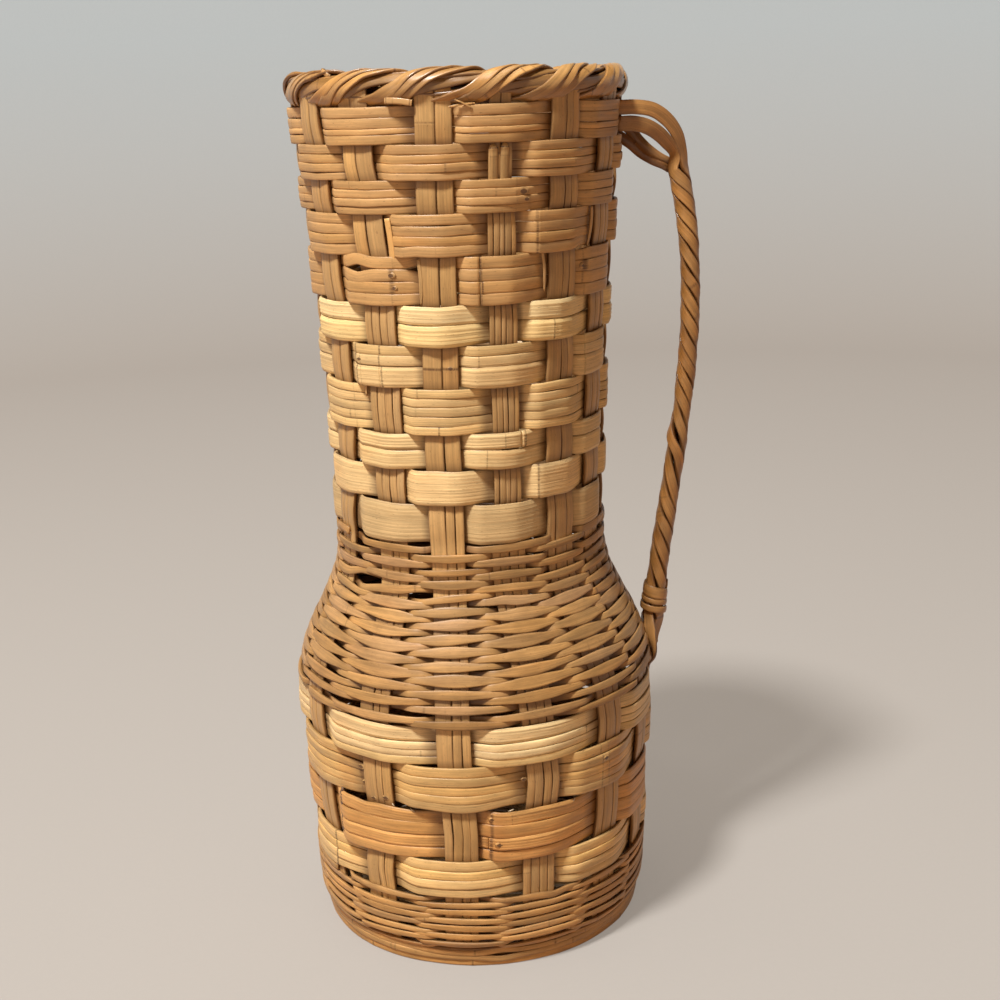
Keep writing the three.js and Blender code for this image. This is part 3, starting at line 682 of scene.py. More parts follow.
print("stake 2 swings by", np.round(stake_swing(2, np.array([0.47, 0.45])) / MM, 2), "mm in rows 1 and 2")

# %% [markdown]
# ## Stakes
# Each stake is a flat bundle of two to five split canes. They are laid in strips that run down one side
# of the vase, cross in a plain check under it and go up another side, which is how such a basket is begun.
# The canes of a stake change on the way: a wide pair gives out behind a band and three to five narrow
# ones go on. So each stake has a list of stretches, and each stretch a list of cane widths from left to
# right.

# %% Which canes each stake is made of, from the top down: (lowest height, widths in mm)
STAKE_CANES = {
    0: [(0.280, (11.0, 8.2)), (0.0, (12.0, 7.4))],
    1: [(0.392, (8.6, 10.8)), (0.259, (4.6, 5.2, 4.6, 4.6)), (0.0, (9.2, 4.0, 6.0))],
    2: [(0.280, (10.8, 8.8)), (0.115, (9.4, 5.0, 4.8)), (0.0, (5.0, 5.4, 4.4, 4.4))],
    3: [(0.4355, (6.0, 5.6)), (0.259, (2.8, 3.4, 2.6, 3.6, 2.6)), (0.0, (4.6, 5.2, 4.8, 4.4))],
    4: [(0.3225, (9.6, 4.4, 4.8)), (0.280, (10.2, 8.8)), (0.0, (5.0, 8.4, 5.4))],
    5: [(0.300, (6.0, 7.4, 5.6)), (0.0, (10.4, 8.8))],
    6: [(0.280, (10.2, 9.0)), (0.0, (9.4, 9.6))],
}
PLAIN_STAKES = ((10.2, 9.0), (6.4, 6.8, 5.8), (4.8, 5.0, 4.6, 4.6))
PLAIN_CHANGES = (0.280, 0.259)


def stretches_of(k):
    """The stretches of stake k. Stakes of the far side get one of the plain sets by chance."""
    if k in STAKE_CANES:
        return STAKE_CANES[k]
    rng = dice("stake", k)
    upper, lower = (PLAIN_STAKES[rng.integers(3)] for _ in range(2))
    return [(PLAIN_CHANGES[k % 2], upper), (0.0, lower)]


print("stake 9 has", [len(widths) for _, widths in stretches_of(9)], "canes")

# %% The plaited square under the vase: seven lanes, each from one stake to another
BASE_PITCH = 26 * MM
CHECK_LEVEL = 1.3 * MM
LENGTHWISE = 4
CROSSWISE = 3
CHECK_REACHES = {True: 36.8 * MM, False: 49.8 * MM}
CHECK_SHARPNESS = 2
CHECK_POINTS = 40
SQUARE_TURN = float(stake_azimuth(5, 0.0)[0] + stake_azimuth(6, 0.0)[0]) / 2


def strips():
    """(lengthwise, its number, stake at its start, stake at its end, offset of its lane)."""
    first = HANDLE_STAKE - LENGTHWISE // 2
    for i in range(LENGTHWISE):
        lane = (i - (LENGTHWISE - 1) / 2) * BASE_PITCH
        yield True, i, first + i, (first + 2 * LENGTHWISE + CROSSWISE - 1 - i) % STAKES, lane
    for j in range(CROSSWISE):
        lane = (j - (CROSSWISE - 1) / 2) * BASE_PITCH
        start = (first + LENGTHWISE + CROSSWISE - 1 - j) % STAKES
        yield False, j, start, (first + 2 * LENGTHWISE + CROSSWISE + j) % STAKES, lane


print("strips join the stakes", [(start, end) for _, _, start, end, _ in strips()])


# %% The way of one cane under the vase
def link(p, p_dir, q, q_dir):
    """A smooth way from p to q that leaves and arrives in given directions, without its ends."""
    t = np.linspace(0, 1, 10)[1:-1, None]
    span = np.linalg.norm(q - p)
    h = (2 * t ** 3 - 3 * t ** 2 + 1, t ** 3 - 2 * t ** 2 + t, 3 * t ** 2 - 2 * t ** 3, t ** 3 - t ** 2)
    return h[0] * p + h[1] * span * p_dir + h[2] * q + h[3] * span * q_dir


def base_crossing(lengthwise, number, lane, side, start, end):
    """Places of one cane from the start of one stake's wall to the start of the other's, under the vase."""
    travel_dir, lane_dir = outward(np.array(SQUARE_TURN)), sideways(np.array(SQUARE_TURN))
    if not lengthwise:
        travel_dir, lane_dir = lane_dir, travel_dir
    reach = CHECK_REACHES[lengthwise]
    travel = np.linspace(reach, -reach, CHECK_POINTS)
    lanes = (CROSSWISE if lengthwise else LENGTHWISE) - 1
    phase = math.pi * (travel / BASE_PITCH + lanes / 2 + number)
    sign = 1 if lengthwise else -1
    over = np.tanh(CHECK_SHARPNESS * np.cos(phase))
    level = BASE_LEVEL + sign * CHECK_LEVEL * over / math.tanh(CHECK_SHARPNESS)
    square = AXIS + travel[:, None] * travel_dir + (lane + side) * lane_dir + level[:, None] * UP
    out_to = []
    for stake, sense in ((start, sign), (end, -sign)):
        azimuth = stake_azimuth(stake, 0.0) + sense * side / FAN_RADIUS
        place = on_wall(np.zeros(1), azimuth, 0.0)[0][0]
        out_to.append((place, outward(azimuth)[0]))
    (a, a_out), (b, b_out) = out_to
    lead_in = link(a, -a_out, square[0], -travel_dir)
    lead_out = link(square[-1], -travel_dir, b, b_out)
    middle = np.concatenate([lead_in, square, lead_out])
    return middle, np.broadcast_to(lane_dir, middle.shape), np.broadcast_to(-UP, middle.shape)


print("the first strip crosses at", np.round(base_crossing(*next(strips())[:2], 0, 0, 4, 0)[0][0], 4))

# %% A bud scar: a low oval dome with a dark outline and a dark eye
KNOT_ARC = 1.25
KNOT_WIDTH = 4.0 * MM
KNOT_LENGTH = 5.6 * MM
KNOT_HEIGHT = 0.9
KNOT_SINK = 0.3
KNOT_RINGS = [(0.9, 0.9, 0.12 * MM), (4.2, 0.35, 0.05 * MM), (7.6, 1.3, 0.07 * MM)]


def lay_knot(bundle, centre, rise, out, size, tone):
    travel = np.cross(rise, out)
    arc = np.linspace(0, 1, 9) * KNOT_ARC
    radius = np.cos(arc)
    place = centre + out * (size * MM * (KNOT_HEIGHT * np.sin(arc) - KNOT_SINK))[:, None]
    rise, travel = np.broadcast_to(rise, place.shape), np.broadcast_to(travel, place.shape)
    bundle.lay(place, rise, travel, KNOT_WIDTH * size * radius, KNOT_LENGTH * size * radius,
               ROUND_CANE, tone * 0.85, KNOT_RINGS, 2.0)


print("a bud scar has", len(KNOT_RINGS), "dark rings")

# %% Laying one stretch of a stake's cane up the wall
STAKE_STATION = 3.0 * MM
STAKE_OVERLAP = 6 * MM
STAKE_ABOVE_NECK = 7 * MM
CANE_SHARE = 0.98


def stake_cane(k, low, high, side, rng):
    """Places from low to high of one cane, at a distance side from the middle of its stake."""
    s = np.arange(low, high, STAKE_STATION)
    r, z, _ = wall_at(s)
    swing = stake_swing(k, z)
    drift = wobble(s, 0.25 * MM, 0.12, rng)
    azimuth = stake_azimuth(k, z) + (side + drift) / r
    place, out, _, across = on_wall(s, azimuth, swing + wobble(s, 0.12 * MM, 0.08, rng))
    # the last value is where bands cover the stake, which the finish paints in shade
    return place, across, out, crossed(k, z)


def cane_offsets(widths):
    """The middles of canes that lie side by side, as distances from the middle of them all."""
    widths = np.array(widths) * MM
    edges = np.concatenate([[0], np.cumsum(widths)]) - widths.sum() / 2
    return (edges[:-1] + edges[1:]) / 2, widths


print("two canes of 11 and 8 mm lie at", np.round(cane_offsets((11, 8))[0] / MM, 2))

# %% Joints of a stake: (height, strength) on most of its canes, and by chance one more
JOINTS_ON_STAKES = {1: [(0.106, 0.9)], 2: [(0.346, 1.0)], 3: [(0.4590, 1.0), (0.4565, 0.8)]}
CHANCE_OF_LISTED_JOINT = 0.7
CHANCE_OF_OTHER_JOINT = 0.5


def joints_of_stake(k, s_low, s_high, rng):
    found = []
    for z, strength in JOINTS_ON_STAKES.get(k, []):
        if rng.random() < CHANCE_OF_LISTED_JOINT:
            found.append(((distance_at_height(z) - s_low) / STAKE_STATION, strength, 0.9 * MM))
    if rng.random() < CHANCE_OF_OTHER_JOINT:
        found.append((rng.uniform(0, s_high - s_low) / STAKE_STATION, rng.uniform(0.3, 0.8), 0.7 * MM))
    return found


print("joints of stake 2:", len(joints_of_stake(2, 0.0, 0.5, dice("first"))))

# %% What single stakes have of their own, by the stake's number counted from the front (-7 to 6)
# thin splits that got loose: top and bottom as (azimuth, height), width and lift in mm
STRAY_SPLITS = {
    -1: [((-26.2, 0.4250), (-25.3, 0.3990), 3.4, 0.9)],
    0: [((-15.4, 0.4040), (-15.4, 0.3800), 2.0, 1.3)],
    2: [((29.2, 0.4080), (30.7, 0.3845), 1.7, 1.6), ((54.2, 0.4260), (52.2, 0.4050), 2.4, 1.4)],
    -2: [((-43.5, 0.3560), (-42.5, 0.3290), 2.6, 1.2)],
}
# bud scars: azimuth, height, size
STAKE_KNOTS = {
    -1: [(-35.7, 0.1024, 0.8), (-30.8, 0.1046, 0.9)],
    0: [(-5.6, 0.3462, 0.7)],
    1: [(13.5, 0.1190, 0.6)],
}
# canes that are cut off in front of a band: azimuth, height of the top, width in mm
CUT_ENDS = {1: [(11.3, 0.4615, 5.2), (15.2, 0.4620, 4.8)]}
CUT_LENGTH_MM = 20
CUT_POINTS = 26
CUT_RINGS = [(22.5, 1.0, 0.5 * MM), (17.0, 0.5, 0.5 * MM)]


def lay_stray_split(bundle, rng, top, bottom, width, lift):
    t = np.linspace(0, 1, 18)
    bow = 0.5 * np.sin(math.pi * t)
    s = distance_at_height(mix(bottom[1], top[1], t))
    azimuth = np.radians(mix(bottom[0], top[0], t) + bow)
    place, out, _, across = on_wall(s, azimuth, lift * MM + 0.5 * MM * np.sin(math.pi * t))
    own_width = width * MM * np.minimum(1, 0.35 + 2.6 * t)
    tone = tinted(STAKE_TAN * 1.12, rng, 0.1)
    bundle.lay(place, across, out, own_width, 0.9 * MM, FLAT_CANE, tone, [], rng.uniform(0, 9))


def lay_cut_end(bundle, azimuth, top, width):
    t = np.linspace(0, 1, CUT_POINTS)
    s = distance_at_height(top - CUT_LENGTH_MM * MM) + t * CUT_LENGTH_MM * MM
    off = 1.9 * MM - 1.1 * MM * (1 - t) ** 2
    place, out, _, across = on_wall(s, np.full(CUT_POINTS, math.radians(azimuth)), off)
    dome = np.sqrt(np.clip((1 - t) / 0.10, 0.04, 1))
    bundle.lay(place, across, out, width * MM * dome, 2.0 * MM * dome, ROUND_CANE,
               STAKE_TAN * 0.9, CUT_RINGS, azimuth)


def lay_own_faults(bundle, k):
    half = STAKES // 2
    own = (k + half) % STAKES - half
    for n, split in enumerate(STRAY_SPLITS.get(own, [])):
        lay_stray_split(bundle, dice("stray", k, n), *split)
    for azimuth, z, size in STAKE_KNOTS.get(own, []):
        off = stake_swing(k, np.array([z])) + 1.0 * MM
        place, out, rise, _ = on_wall(distance_at_height([z]), [math.radians(azimuth)], off)
        lay_knot(bundle, place[0], rise[0], out[0], size, STAKE_TAN)
    for end in CUT_ENDS.get(own, []):
        lay_cut_end(bundle, *end)


print("stakes with splits of their own:", sorted(STRAY_SPLITS))


# %% Laying the stakes: the canes above, and those that run on under the vase
def lay_upper_canes(bundle, k):
    """The canes of stake k above its lowest stretch."""
    for stretch, (low, widths) in enumerate(stretches_of(k)[:-1]):
        high = stretches_of(k)[stretch - 1][0] if stretch else NECK_TOP + STAKE_ABOVE_NECK
        s_low, s_high = distance_at_height(low - STAKE_OVERLAP), distance_at_height(high + STAKE_OVERLAP)
        for i, (side, width) in enumerate(zip(*cane_offsets(widths))):
            rng = dice("stake cane", k, stretch, i)
            place, across, out, depth = stake_cane(k, s_low, min(s_high, WALL_S[-1] - 1 * MM), side, rng)
            thick = STAKE_THICKNESS * rng.uniform(0.95, 1.1)
            tone = tinted(STAKE_TAN, rng, 0.07)
            joints = joints_of_stake(k, s_low, s_high, rng)
            bundle.lay(place, across, out, width * CANE_SHARE, thick, CANE,
                       tone, joints, rng.uniform(0, 9), depth)


def lowest_cane(k, i, count):
    """Offset, width and top of one of count canes in the lowest stretch of stake k. Where the
    strip's other stake has more canes, a wide cane is split to make up the number."""
    widths = stretches_of(k)[-1][1]
    offsets, sizes = cane_offsets(widths)
    picks = [min(int(n * len(widths) / count), len(widths) - 1) for n in range(count)]
    share = [n for n in range(count) if picks[n] == picks[i]]
    width = sizes[picks[i]] / len(share)
    offset = offsets[picks[i]] - sizes[picks[i]] / 2 + width * (share.index(i) + 0.5)
    return offset, width, distance_at_height(stretches_of(k)[-2][0] + STAKE_OVERLAP)


def lay_through_cane(bundle, number, strip, i, count):
    """One cane that comes down one stake, crosses under the vase and goes up the other."""
    lengthwise, lane_number, start, end, lane = strip
    rng = dice("base cane", number, i)
    sense = 1 if lengthwise else -1
    offset0, width0, high0 = lowest_cane(start, i, count)
    offset1, width1, high1 = lowest_cane(end, i, count)
    down = stake_cane(start, 0.0, high0, offset0, rng)
    middle = base_crossing(lengthwise, lane_number, lane, sense * offset0, start, end)
    up = stake_cane(end, 0.0, high1, offset1, rng)
    place = np.concatenate([down[0][::-1], middle[0], up[0]])
    across = np.concatenate([down[1][::-1] * sense, middle[1], up[1] * -sense])
    out = np.concatenate([down[2][::-1], middle[2], up[2]])
    depth = np.concatenate([down[3][::-1], np.zeros(len(middle[0])), up[3]])
    between = mix(width0, width1, smooth(np.linspace(0, 1, len(middle[0]))))
    width = np.concatenate([np.full(len(down[0]), width0), between, np.full(len(up[0]), width1)])
    joints = [(rng.uniform(0, len(place)), rng.uniform(0.4, 0.9), 0.8 * MM) for _ in range(4)]
    thick = STAKE_THICKNESS * rng.uniform(0.95, 1.1)
    tone = tinted(STAKE_TAN, rng, 0.07)
    bundle.lay(place, across, out, width * CANE_SHARE, thick, CANE, tone, joints, rng.uniform(0, 9), depth)


for number, strip in enumerate(strips(), 1):
    strip_bundle = Bundle()
    for k in strip[2:4]:
        lay_own_faults(strip_bundle, k)
        lay_upper_canes(strip_bundle, k)
    count = max(len(stretches_of(k)[-1][1]) for k in strip[2:4])
    for i in range(count):
        lay_through_cane(strip_bundle, number, strip, i, count)
    node = f"stake_strip_{number}"
    strip_bundle.make(f"{node}_canes", STAKE_FINISH, [node])
print("stakes laid:", made[-1])

# %% [markdown]
# ## Bands
# A band is one hoop of broad weaving, laid over a stake and behind the next: up to five half-round canes
# side by side, or one or two wide strips with fine ribs. All canes of a band make the same swing in and
# out, so they are laid along one shared wave, each at its own height. Small wanders open thin dark
# cracks between them, and a few listed faults - joints, folds, breaks, patches of another tone, a painted
# shadow and pushed-open holes - make each band a different one.

# %% The canes of each band, from its top edge down, in mm; they are scaled to the height of the row
NECK_CANES = {
    1: (5.8, 5.6, 3.2, 5.2), 2: (5.0, 4.6, 4.6, 4.2), 3: (4.6, 4.4, 4.2, 4.2), 4: (5.4, 5.2, 5.0, 5.4),
    5: (6.0, 6.2, 6.0, 6.0), 6: (10.0, 11.5), 7: (5.0, 5.4, 11.0), 8: (5.0, 5.2, 5.2, 5.4, 5.0),
    9: (8.6, 10.4), 10: (18.5,), 11: (21.0,),
}
BODY_CANES = {
    1: (9.0, 4.6, 4.4, 5.0), 2: (6.0, 5.5, 5.5, 5.0, 5.5),
    3: (8.6, 8.0, 8.2, 6.5), 4: (6.0, 5.5, 5.5, 5.5),
}
NECK_TONES = {
    1: WARM_TAN, 2: WARM_TAN, 3: WARM_TAN * 0.97, 4: WARM_TAN, 5: WARM_TAN * 0.98,
    6: PALE_STRAW * 1.10, 7: STRAW * 1.12, 8: STRAW * 1.12, 9: PALE_STRAW * 1.10,
    10: PALE_STRAW * 1.12, 11: STRAW * 1.16,
}
BODY_TONES = {
    1: PALE_STRAW * 1.12, 2: BODY_TAN * 1.22, 3: ORANGE_TAN * 1.16,
    4: mix(BODY_TAN, PALE_STRAW, 0.5) * 1.12,
}
LOWEST_WARM_ROW = 5
print("canes in the neck's bands:", [len(canes) for canes in NECK_CANES.values()])

# %% Joints: (azimuth, strength, half width in mm, the canes that have it or None for all)
NECK_JOINTS = {
    2: [(-42.6, 1.0, 2.2, None), (39, 0.25, 0.6, None)],
    3: [(18.7, 0.5, 0.5, None), (21.6, 1.0, 2.4, (1,)), (24, 0.5, 2.0, (2, 3))],
    4: [(27.2, 0.8, 0.9, None), (-20, 0.3, 0.5, None)],
    5: [(-26.0, 0.75, 2.0, (1, 2)), (-26.0, 0.5, 0.8, None), (6.5, 1.0, 0.8, None),
        (50, 1.0, 2.4, (1,)), (50, 0.6, 0.9, None)],
    6: [(58, 0.6, 0.9, None)],
    7: [(-44.9, 1.0, 0.9, None), (-42.5, 0.6, 0.6, (1, 2)), (-32.9, 0.9, 0.8, None), (52, 0.5, 0.8, None)],
    8: [(-50, 0.5, 0.9, None), (-6, 0.3, 0.8, (2,))],
    9: [(22.2, 0.8, 0.8, (0,)), (48, 0.5, 0.8, None)],
    10: [(28.4, 1.0, 0.8, None)],
    11: [(-56.1, 0.9, 0.8, None), (-52.3, 0.9, 0.8, None), (26, 0.3, 0.6, None)],
}
BODY_JOINTS = {
    1: [(12, 0.3, 0.7, None)],
    2: [(-40.4, 1.0, 2.4, (1, 2)), (-41, 0.6, 0.9, None), (41.0, 0.7, 0.8, None), (44, 0.6, 0.7, None)],
    3: [(3.3, 1.0, 1.4, None), (-28, 0.3, 0.6, (0, 1))],
    4: [(-55.9, 1.0, 1.0, None), (24.3, 0.8, 0.9, None)],
}
print("listed joints:", sum(len(found) for found in [*NECK_JOINTS.values(), *BODY_JOINTS.values()]))

# %% Bud scars (azimuth, cane, size), folds (azimuth, height in mm) and breaks (azimuth, cane)
BAND_KNOTS = {
    "neck_band_02": [(-42.6, 1, 1.0), (-41.8, 3, 0.9)], "neck_band_03": [(21.6, 1, 1.2), (22.8, 2, 0.7)],
    "neck_band_04": [(19.2, 1, 0.6)], "neck_band_05": [(-26.0, 1, 1.0), (-25.4, 2, 0.8), (50.0, 1, 1.1)],
    "neck_band_07": [(-43.0, 1, 0.8)], "body_band_2": [(-40.4, 1, 1.1), (-39.8, 3, 0.9), (42.5, 1, 0.9)],
    "body_band_3": [(3.6, 0, 0.8), (5.6, 2, 1.0)],
}
NECK_FOLDS = {
    5: [(16.4, 0.9)], 6: [(-9.4, 1.5), (37.0, 1.5)], 9: [(-34.0, 1.0), (13, 0.7)],
    10: [(-3.6, 1.2)], 11: [(14, 0.5)],
}
BODY_FOLDS = {3: [(-46.0, 1.6)], 2: [(-38.0, 0.5)]}
FOLD_REACH = 9.0
NECK_BREAKS = {
    5: [(6.5, 0), (6.9, 1), (6.2, 2), (6.8, 3)],
    7: [(-44.9, 0), (-44.0, 1), (-33.2, 2)],
    9: [(22.2, 0)],
}
BODY_BREAKS = {4: [(24.3, 1), (24.0, 2), (-55.9, 2)], 3: [(3.4, 2)]}
print("bands with bud scars:", ", ".join(BAND_KNOTS))

# %% Patches of a darker or paler tone, and a painted shadow of the rim on the first band of the neck: (azimuth, half width in degrees, share of red, green and blue)
BAND_TONE_AND_SHADOW_PATCHES = {
    # a painted shadow of the rim
    "neck_band_01": [(66, 12, (0.78, 0.70, 0.62))],
    "body_band_1": [(22, 15, (1.12, 1.17, 1.20))],
    "body_band_2": [(47.4, 4.5, (0.84, 0.76, 0.70)), (-47, 4, (0.88, 0.80, 0.74))],
    "body_band_3": [(3.5, 4.0, (0.84, 0.77, 0.72))],
}
print("bands with patches:", ", ".join(BAND_TONE_AND_SHADOW_PATCHES))

# %% Places where rows stand apart: (azimuth, height, half width in degrees, half height, push in mm)
OPEN_SPOTS = [
    (-40.0, 0.3990, 4.5, 7, 2.2), (-15.7, 0.3995, 3.5, 7, 2.2), (47.2, 0.4060, 4.0, 7, 1.6),
    (-37.0, 0.1290, 6.0, 7, 0.8), (-20.5, 0.1008, 9.0, 8, 2.3), (8.0, 0.1005, 8.0, 8, 1.7),
    (32.0, 0.0985, 8.0, 8, 1.9), (-38.5, 0.1010, 3.5, 7, 1.9), (23.3, 0.0460, 3.5, 6, 1.6),
    (3.4, 0.2900, 6.0, 6, 1.4), (-6.0, 0.2700, 4.0, 6, 0.8), (-50.0, 0.2206, 9.5, 5, 4.8),
    (-22.0, 0.2194, 7.5, 4, 2.8), (11.7, 0.2121, 4.0, 5, 1.2), (5.1, 0.0078, 5.0, 5, 1.7),
]


def wrapped(azimuth):
    return (azimuth + math.pi) % (2 * math.pi) - math.pi


def pushed_apart(azimuth, z):
    """How far the weave is pushed up or down the wall round the open spots."""
    push = np.zeros_like(z)
    degrees = np.degrees(wrapped(azimuth))
    for spot, height, half_wide, half_high, reach in OPEN_SPOTS:
        near = np.exp(-(((degrees - spot) / half_wide) ** 2 + ((z - height) / (half_high * MM)) ** 2))
        push += reach * MM * near * np.tanh((z - height) / (1 * MM))
    return push


print("open spots:", len(OPEN_SPOTS))

# %% The sections and measures of a band
BAND_REACH = 2.3 * MM
BAND_BOW = 0.5 * MM
BAND_TILT = 0.4 * MM
BAND_STATIONS_PER_STAKE = 20
BAND_STATIONS = STAKES * BAND_STATIONS_PER_STAKE
BAND_START = 9
BAND_LAP = (0.12, 0.15)
BREAK_GAP = 0.12
BREAK_LIFT = 0.25 * MM
RIBBED = ribbed_section(5, 0.16)
FINE_RIBBED = ribbed_section(10, 0.10)
RIBBED_FROM = 8.2 * MM
FINE_RIBBED_FROM = 15 * MM


def band_section(width):
    if width > FINE_RIBBED_FROM:
        return FINE_RIBBED
    return RIBBED if width > RIBBED_FROM else CANE


print("a ribbed strip has", len(RIBBED), "points, a fine ribbed one", len(FINE_RIBBED))


# %% One cane of a band
class BandWay:
    """What all canes of a band share: where it lies on the wall and its wave in and out.
    It begins behind a stake of the far side, so that its joint isn't seen."""

    def __init__(self, row, low, high):
        self.low, self.high = distance_at_height(low), distance_at_height(high)
        self.middle = (self.low + self.high) / 2
        radius, z, _ = wall_at(self.middle)
        ends = (-BAND_LAP[0], STAKES - BAND_LAP[1])
        self.count = BAND_START + (row % 2) + np.linspace(*ends, BAND_STATIONS)
        self.azimuth = azimuth_of_count(self.count, z)
        self.degrees = np.degrees(wrapped(self.azimuth))
        edge = 1 - STAKE_WIDTH / 2 / (2 * math.pi / STAKES * float(radius))
        self.wave = over_and_under(self.count, row, edge)
        self.over = (self.wave + 1) / 2
        # how far the band lies behind a stake: the finish paints shade there
        self.hidden = smooth((-0.35 - self.wave) / 0.6)

    def station(self, degrees):
        order = np.argsort(self.degrees)
        return float(np.interp(degrees, self.degrees[order], np.arange(BAND_STATIONS)[order]))


def band_cane_way(way, y, folds, rng):
    """Places and directions of a cane whose middle lies y above the middle of its band."""
    s = way.middle + y * mix(0.985, 1.0, way.over)
    s = s + wobble(way.count, 0.2 * MM, 4, rng) + wobble(way.count, 0.1 * MM, 1.1, rng)
    s = s + pushed_apart(way.azimuth, wall_at(s)[1])
    share = 2 * y / (way.high - way.low)
    off = BAND_REACH * way.wave + way.over * (BAND_BOW * (1 - share ** 2) - BAND_TILT * share)
    off = off + rng.normal(0, 0.16) * MM
    off = off + wobble(way.count, 0.18 * MM, 3, rng) + wobble(way.count, 0.07 * MM, 0.9, rng)
    for where, height in folds:
        off = off + height * MM * np.maximum(0, 1 - np.abs(way.degrees - where) / FOLD_REACH)
    return on_wall(s, way.azimuth, off)[:3]


def band_cane_joints(way, i, joints, rng):
    """The listed joints of cane i and two to four by chance."""
    found = []
    for where, strength, half, which in joints:
        if which is None or i in which:
            station = way.station(where + rng.normal(0, 0.25))
            found.append((station, strength * rng.uniform(0.8, 1.1), half * MM))
    for _ in range(rng.integers(2, 5)):
        found.append((rng.uniform(0, BAND_STATIONS), rng.uniform(0.2, 0.8), rng.uniform(0.5, 0.9) * MM))
    return found


print("the lowest band of the body starts at",
      round(float(BandWay(4, *body_levels[:2]).degrees[0]), 1), "degrees")


# %% Laying a band
def lay_band_cane(bundle, node, way, i, y, width, tone, joints, folds, breaks):
    rng = dice(node, i)
    place, out, rise = band_cane_way(way, y, folds, rng)
    own_width = width * mix(0.98, 1.0, way.over) * (1 + wobble(way.count, 0.035, 1.7, rng))
    thick = (rng.uniform(1.9, 2.3) if width < RIBBED_FROM else rng.uniform(1.7, 2.0)) * MM
    colour = tinted(tone, rng, 0.08) * (1 + wobble(way.count, 0.05, 2.6, rng))[:, None]
    # patches of another tone, and on the first band of the neck a painted shadow of the rim
    for where, half, shade in BAND_TONE_AND_SHADOW_PATCHES.get(node, []):
        near = np.exp(-((way.degrees - where - rng.normal(0, 0.5)) / half) ** 4)
        colour = colour * (1 + near[:, None] * (np.array(shade) - 1))
    found = band_cane_joints(way, i, joints, rng)
    cuts = sorted(int(way.station(where)) for where, cane in breaks if cane == i)
    edges = [0, *cuts, BAND_STATIONS - 1]
    for part, (a, b) in enumerate(zip(edges[:-1], edges[1:])):
        first = a + BREAK_GAP * (part > 0)
        last = b - BREAK_GAP * (b < BAND_STATIONS - 1)
        at = np.concatenate([[first], np.arange(a + 1, b), [last]])
        here, up, away, wide = (sampled(v, at) for v in (place, rise, out, own_width))
        tone_here = sampled(colour, at) * (1.0 if part % 2 == 0 else rng.uniform(0.9, 1.12))
        rings = [(where - a, strength, half) for where, strength, half in found]
        lift = BREAK_LIFT * (part % 2) * away
        bundle.lay(here + lift, up, away, wide, thick, band_section(width), tone_here,
                   rings, rng.uniform(0, 9) + part, sampled(way.hidden, at))
    for where, cane, size in BAND_KNOTS.get(node, []):
        if cane == i:
            here, up, away = (sampled(v, np.array([way.station(where)]))[0] for v in (place, rise, out))
            lay_knot(bundle, here + away * thick / 2, up, away, size, tone)


def lay_band(bundle, node, row, low, high, widths, tone, *faults):
    """The canes of one band. The faults are its joints, its folds and its breaks."""
    way = BandWay(row, low, high)
    widths = np.array(widths) * (way.high - way.low + 0.1 * MM) / sum(widths)
    upper = way.high + 0.05 * MM - np.concatenate([[0], np.cumsum(widths)[:-1]])
    for i, width in enumerate(widths):
        lay_band_cane(bundle, node, way, i, upper[i] - width / 2 - way.middle, width, tone, *faults)


print("a band is laid in", BAND_STATIONS, "stations")

# %% Small things beside the bands: a dark twist that ties the third band, and pale splinters in gaps
TWIST_TONE = from_screen(104, 78, 58)
TWIST_LOW = 0.0735
TWIST_LENGTH_MM = 28.5
TWIST_TURNS = 4.2
TWIST_RADIUS = 0.85 * MM
TWIST_AZIMUTHS = (-50.4, -49.0)
CRUMB_TONE = from_screen(214, 196, 166)
CRUMB_REACH = 1.7 * MM
# azimuth, height, slant in degrees
CRUMBS = (
    (-35.4, 0.1024, 30), (-28.6, 0.1012, -35), (-21.8, 0.0996, -60), (-49.0, 0.0745, 20),
    (-46.8, 0.0722, -50), (9.5, 0.1002, 70), (31.0, 0.0985, 40),
)


def lay_dark_twist(bundle):
    t = np.linspace(0, 1, 70)
    s = distance_at_height(TWIST_LOW) + t * TWIST_LENGTH_MM * MM
    for side in (0, math.pi):
        turn = side + t * 2 * math.pi * TWIST_TURNS
        azimuth = np.radians(mix(*TWIST_AZIMUTHS, t)) + TWIST_RADIUS * np.cos(turn) / BELLY_RADIUS
        place, out, _, across = on_wall(s, azimuth, 2.7 * MM + TWIST_RADIUS * np.sin(turn))
        bundle.lay(place, across, out, 1.7 * MM, 1.5 * MM, ROUND_CANE, TWIST_TONE, [], 1.0 + side)


def lay_crumbs(bundle):
    t = np.linspace(-1, 1, 7)
    for n, (azimuth, z, slant) in enumerate(CRUMBS):
        s = distance_at_height(z) + t * CRUMB_REACH * math.cos(math.radians(slant))
        around = math.radians(azimuth) + t * CRUMB_REACH * math.sin(math.radians(slant)) / BELLY_RADIUS
        place, out, _, across = on_wall(s, around, 0.6 * MM + 0.5 * MM * (1 - t ** 2))
        width = 0.8 * MM * (1.2 - np.abs(t))
        bundle.lay(place, across, out, width, 0.5 * MM, ROUND_CANE, CRUMB_TONE, [], n)


print("splinters:", len(CRUMBS))

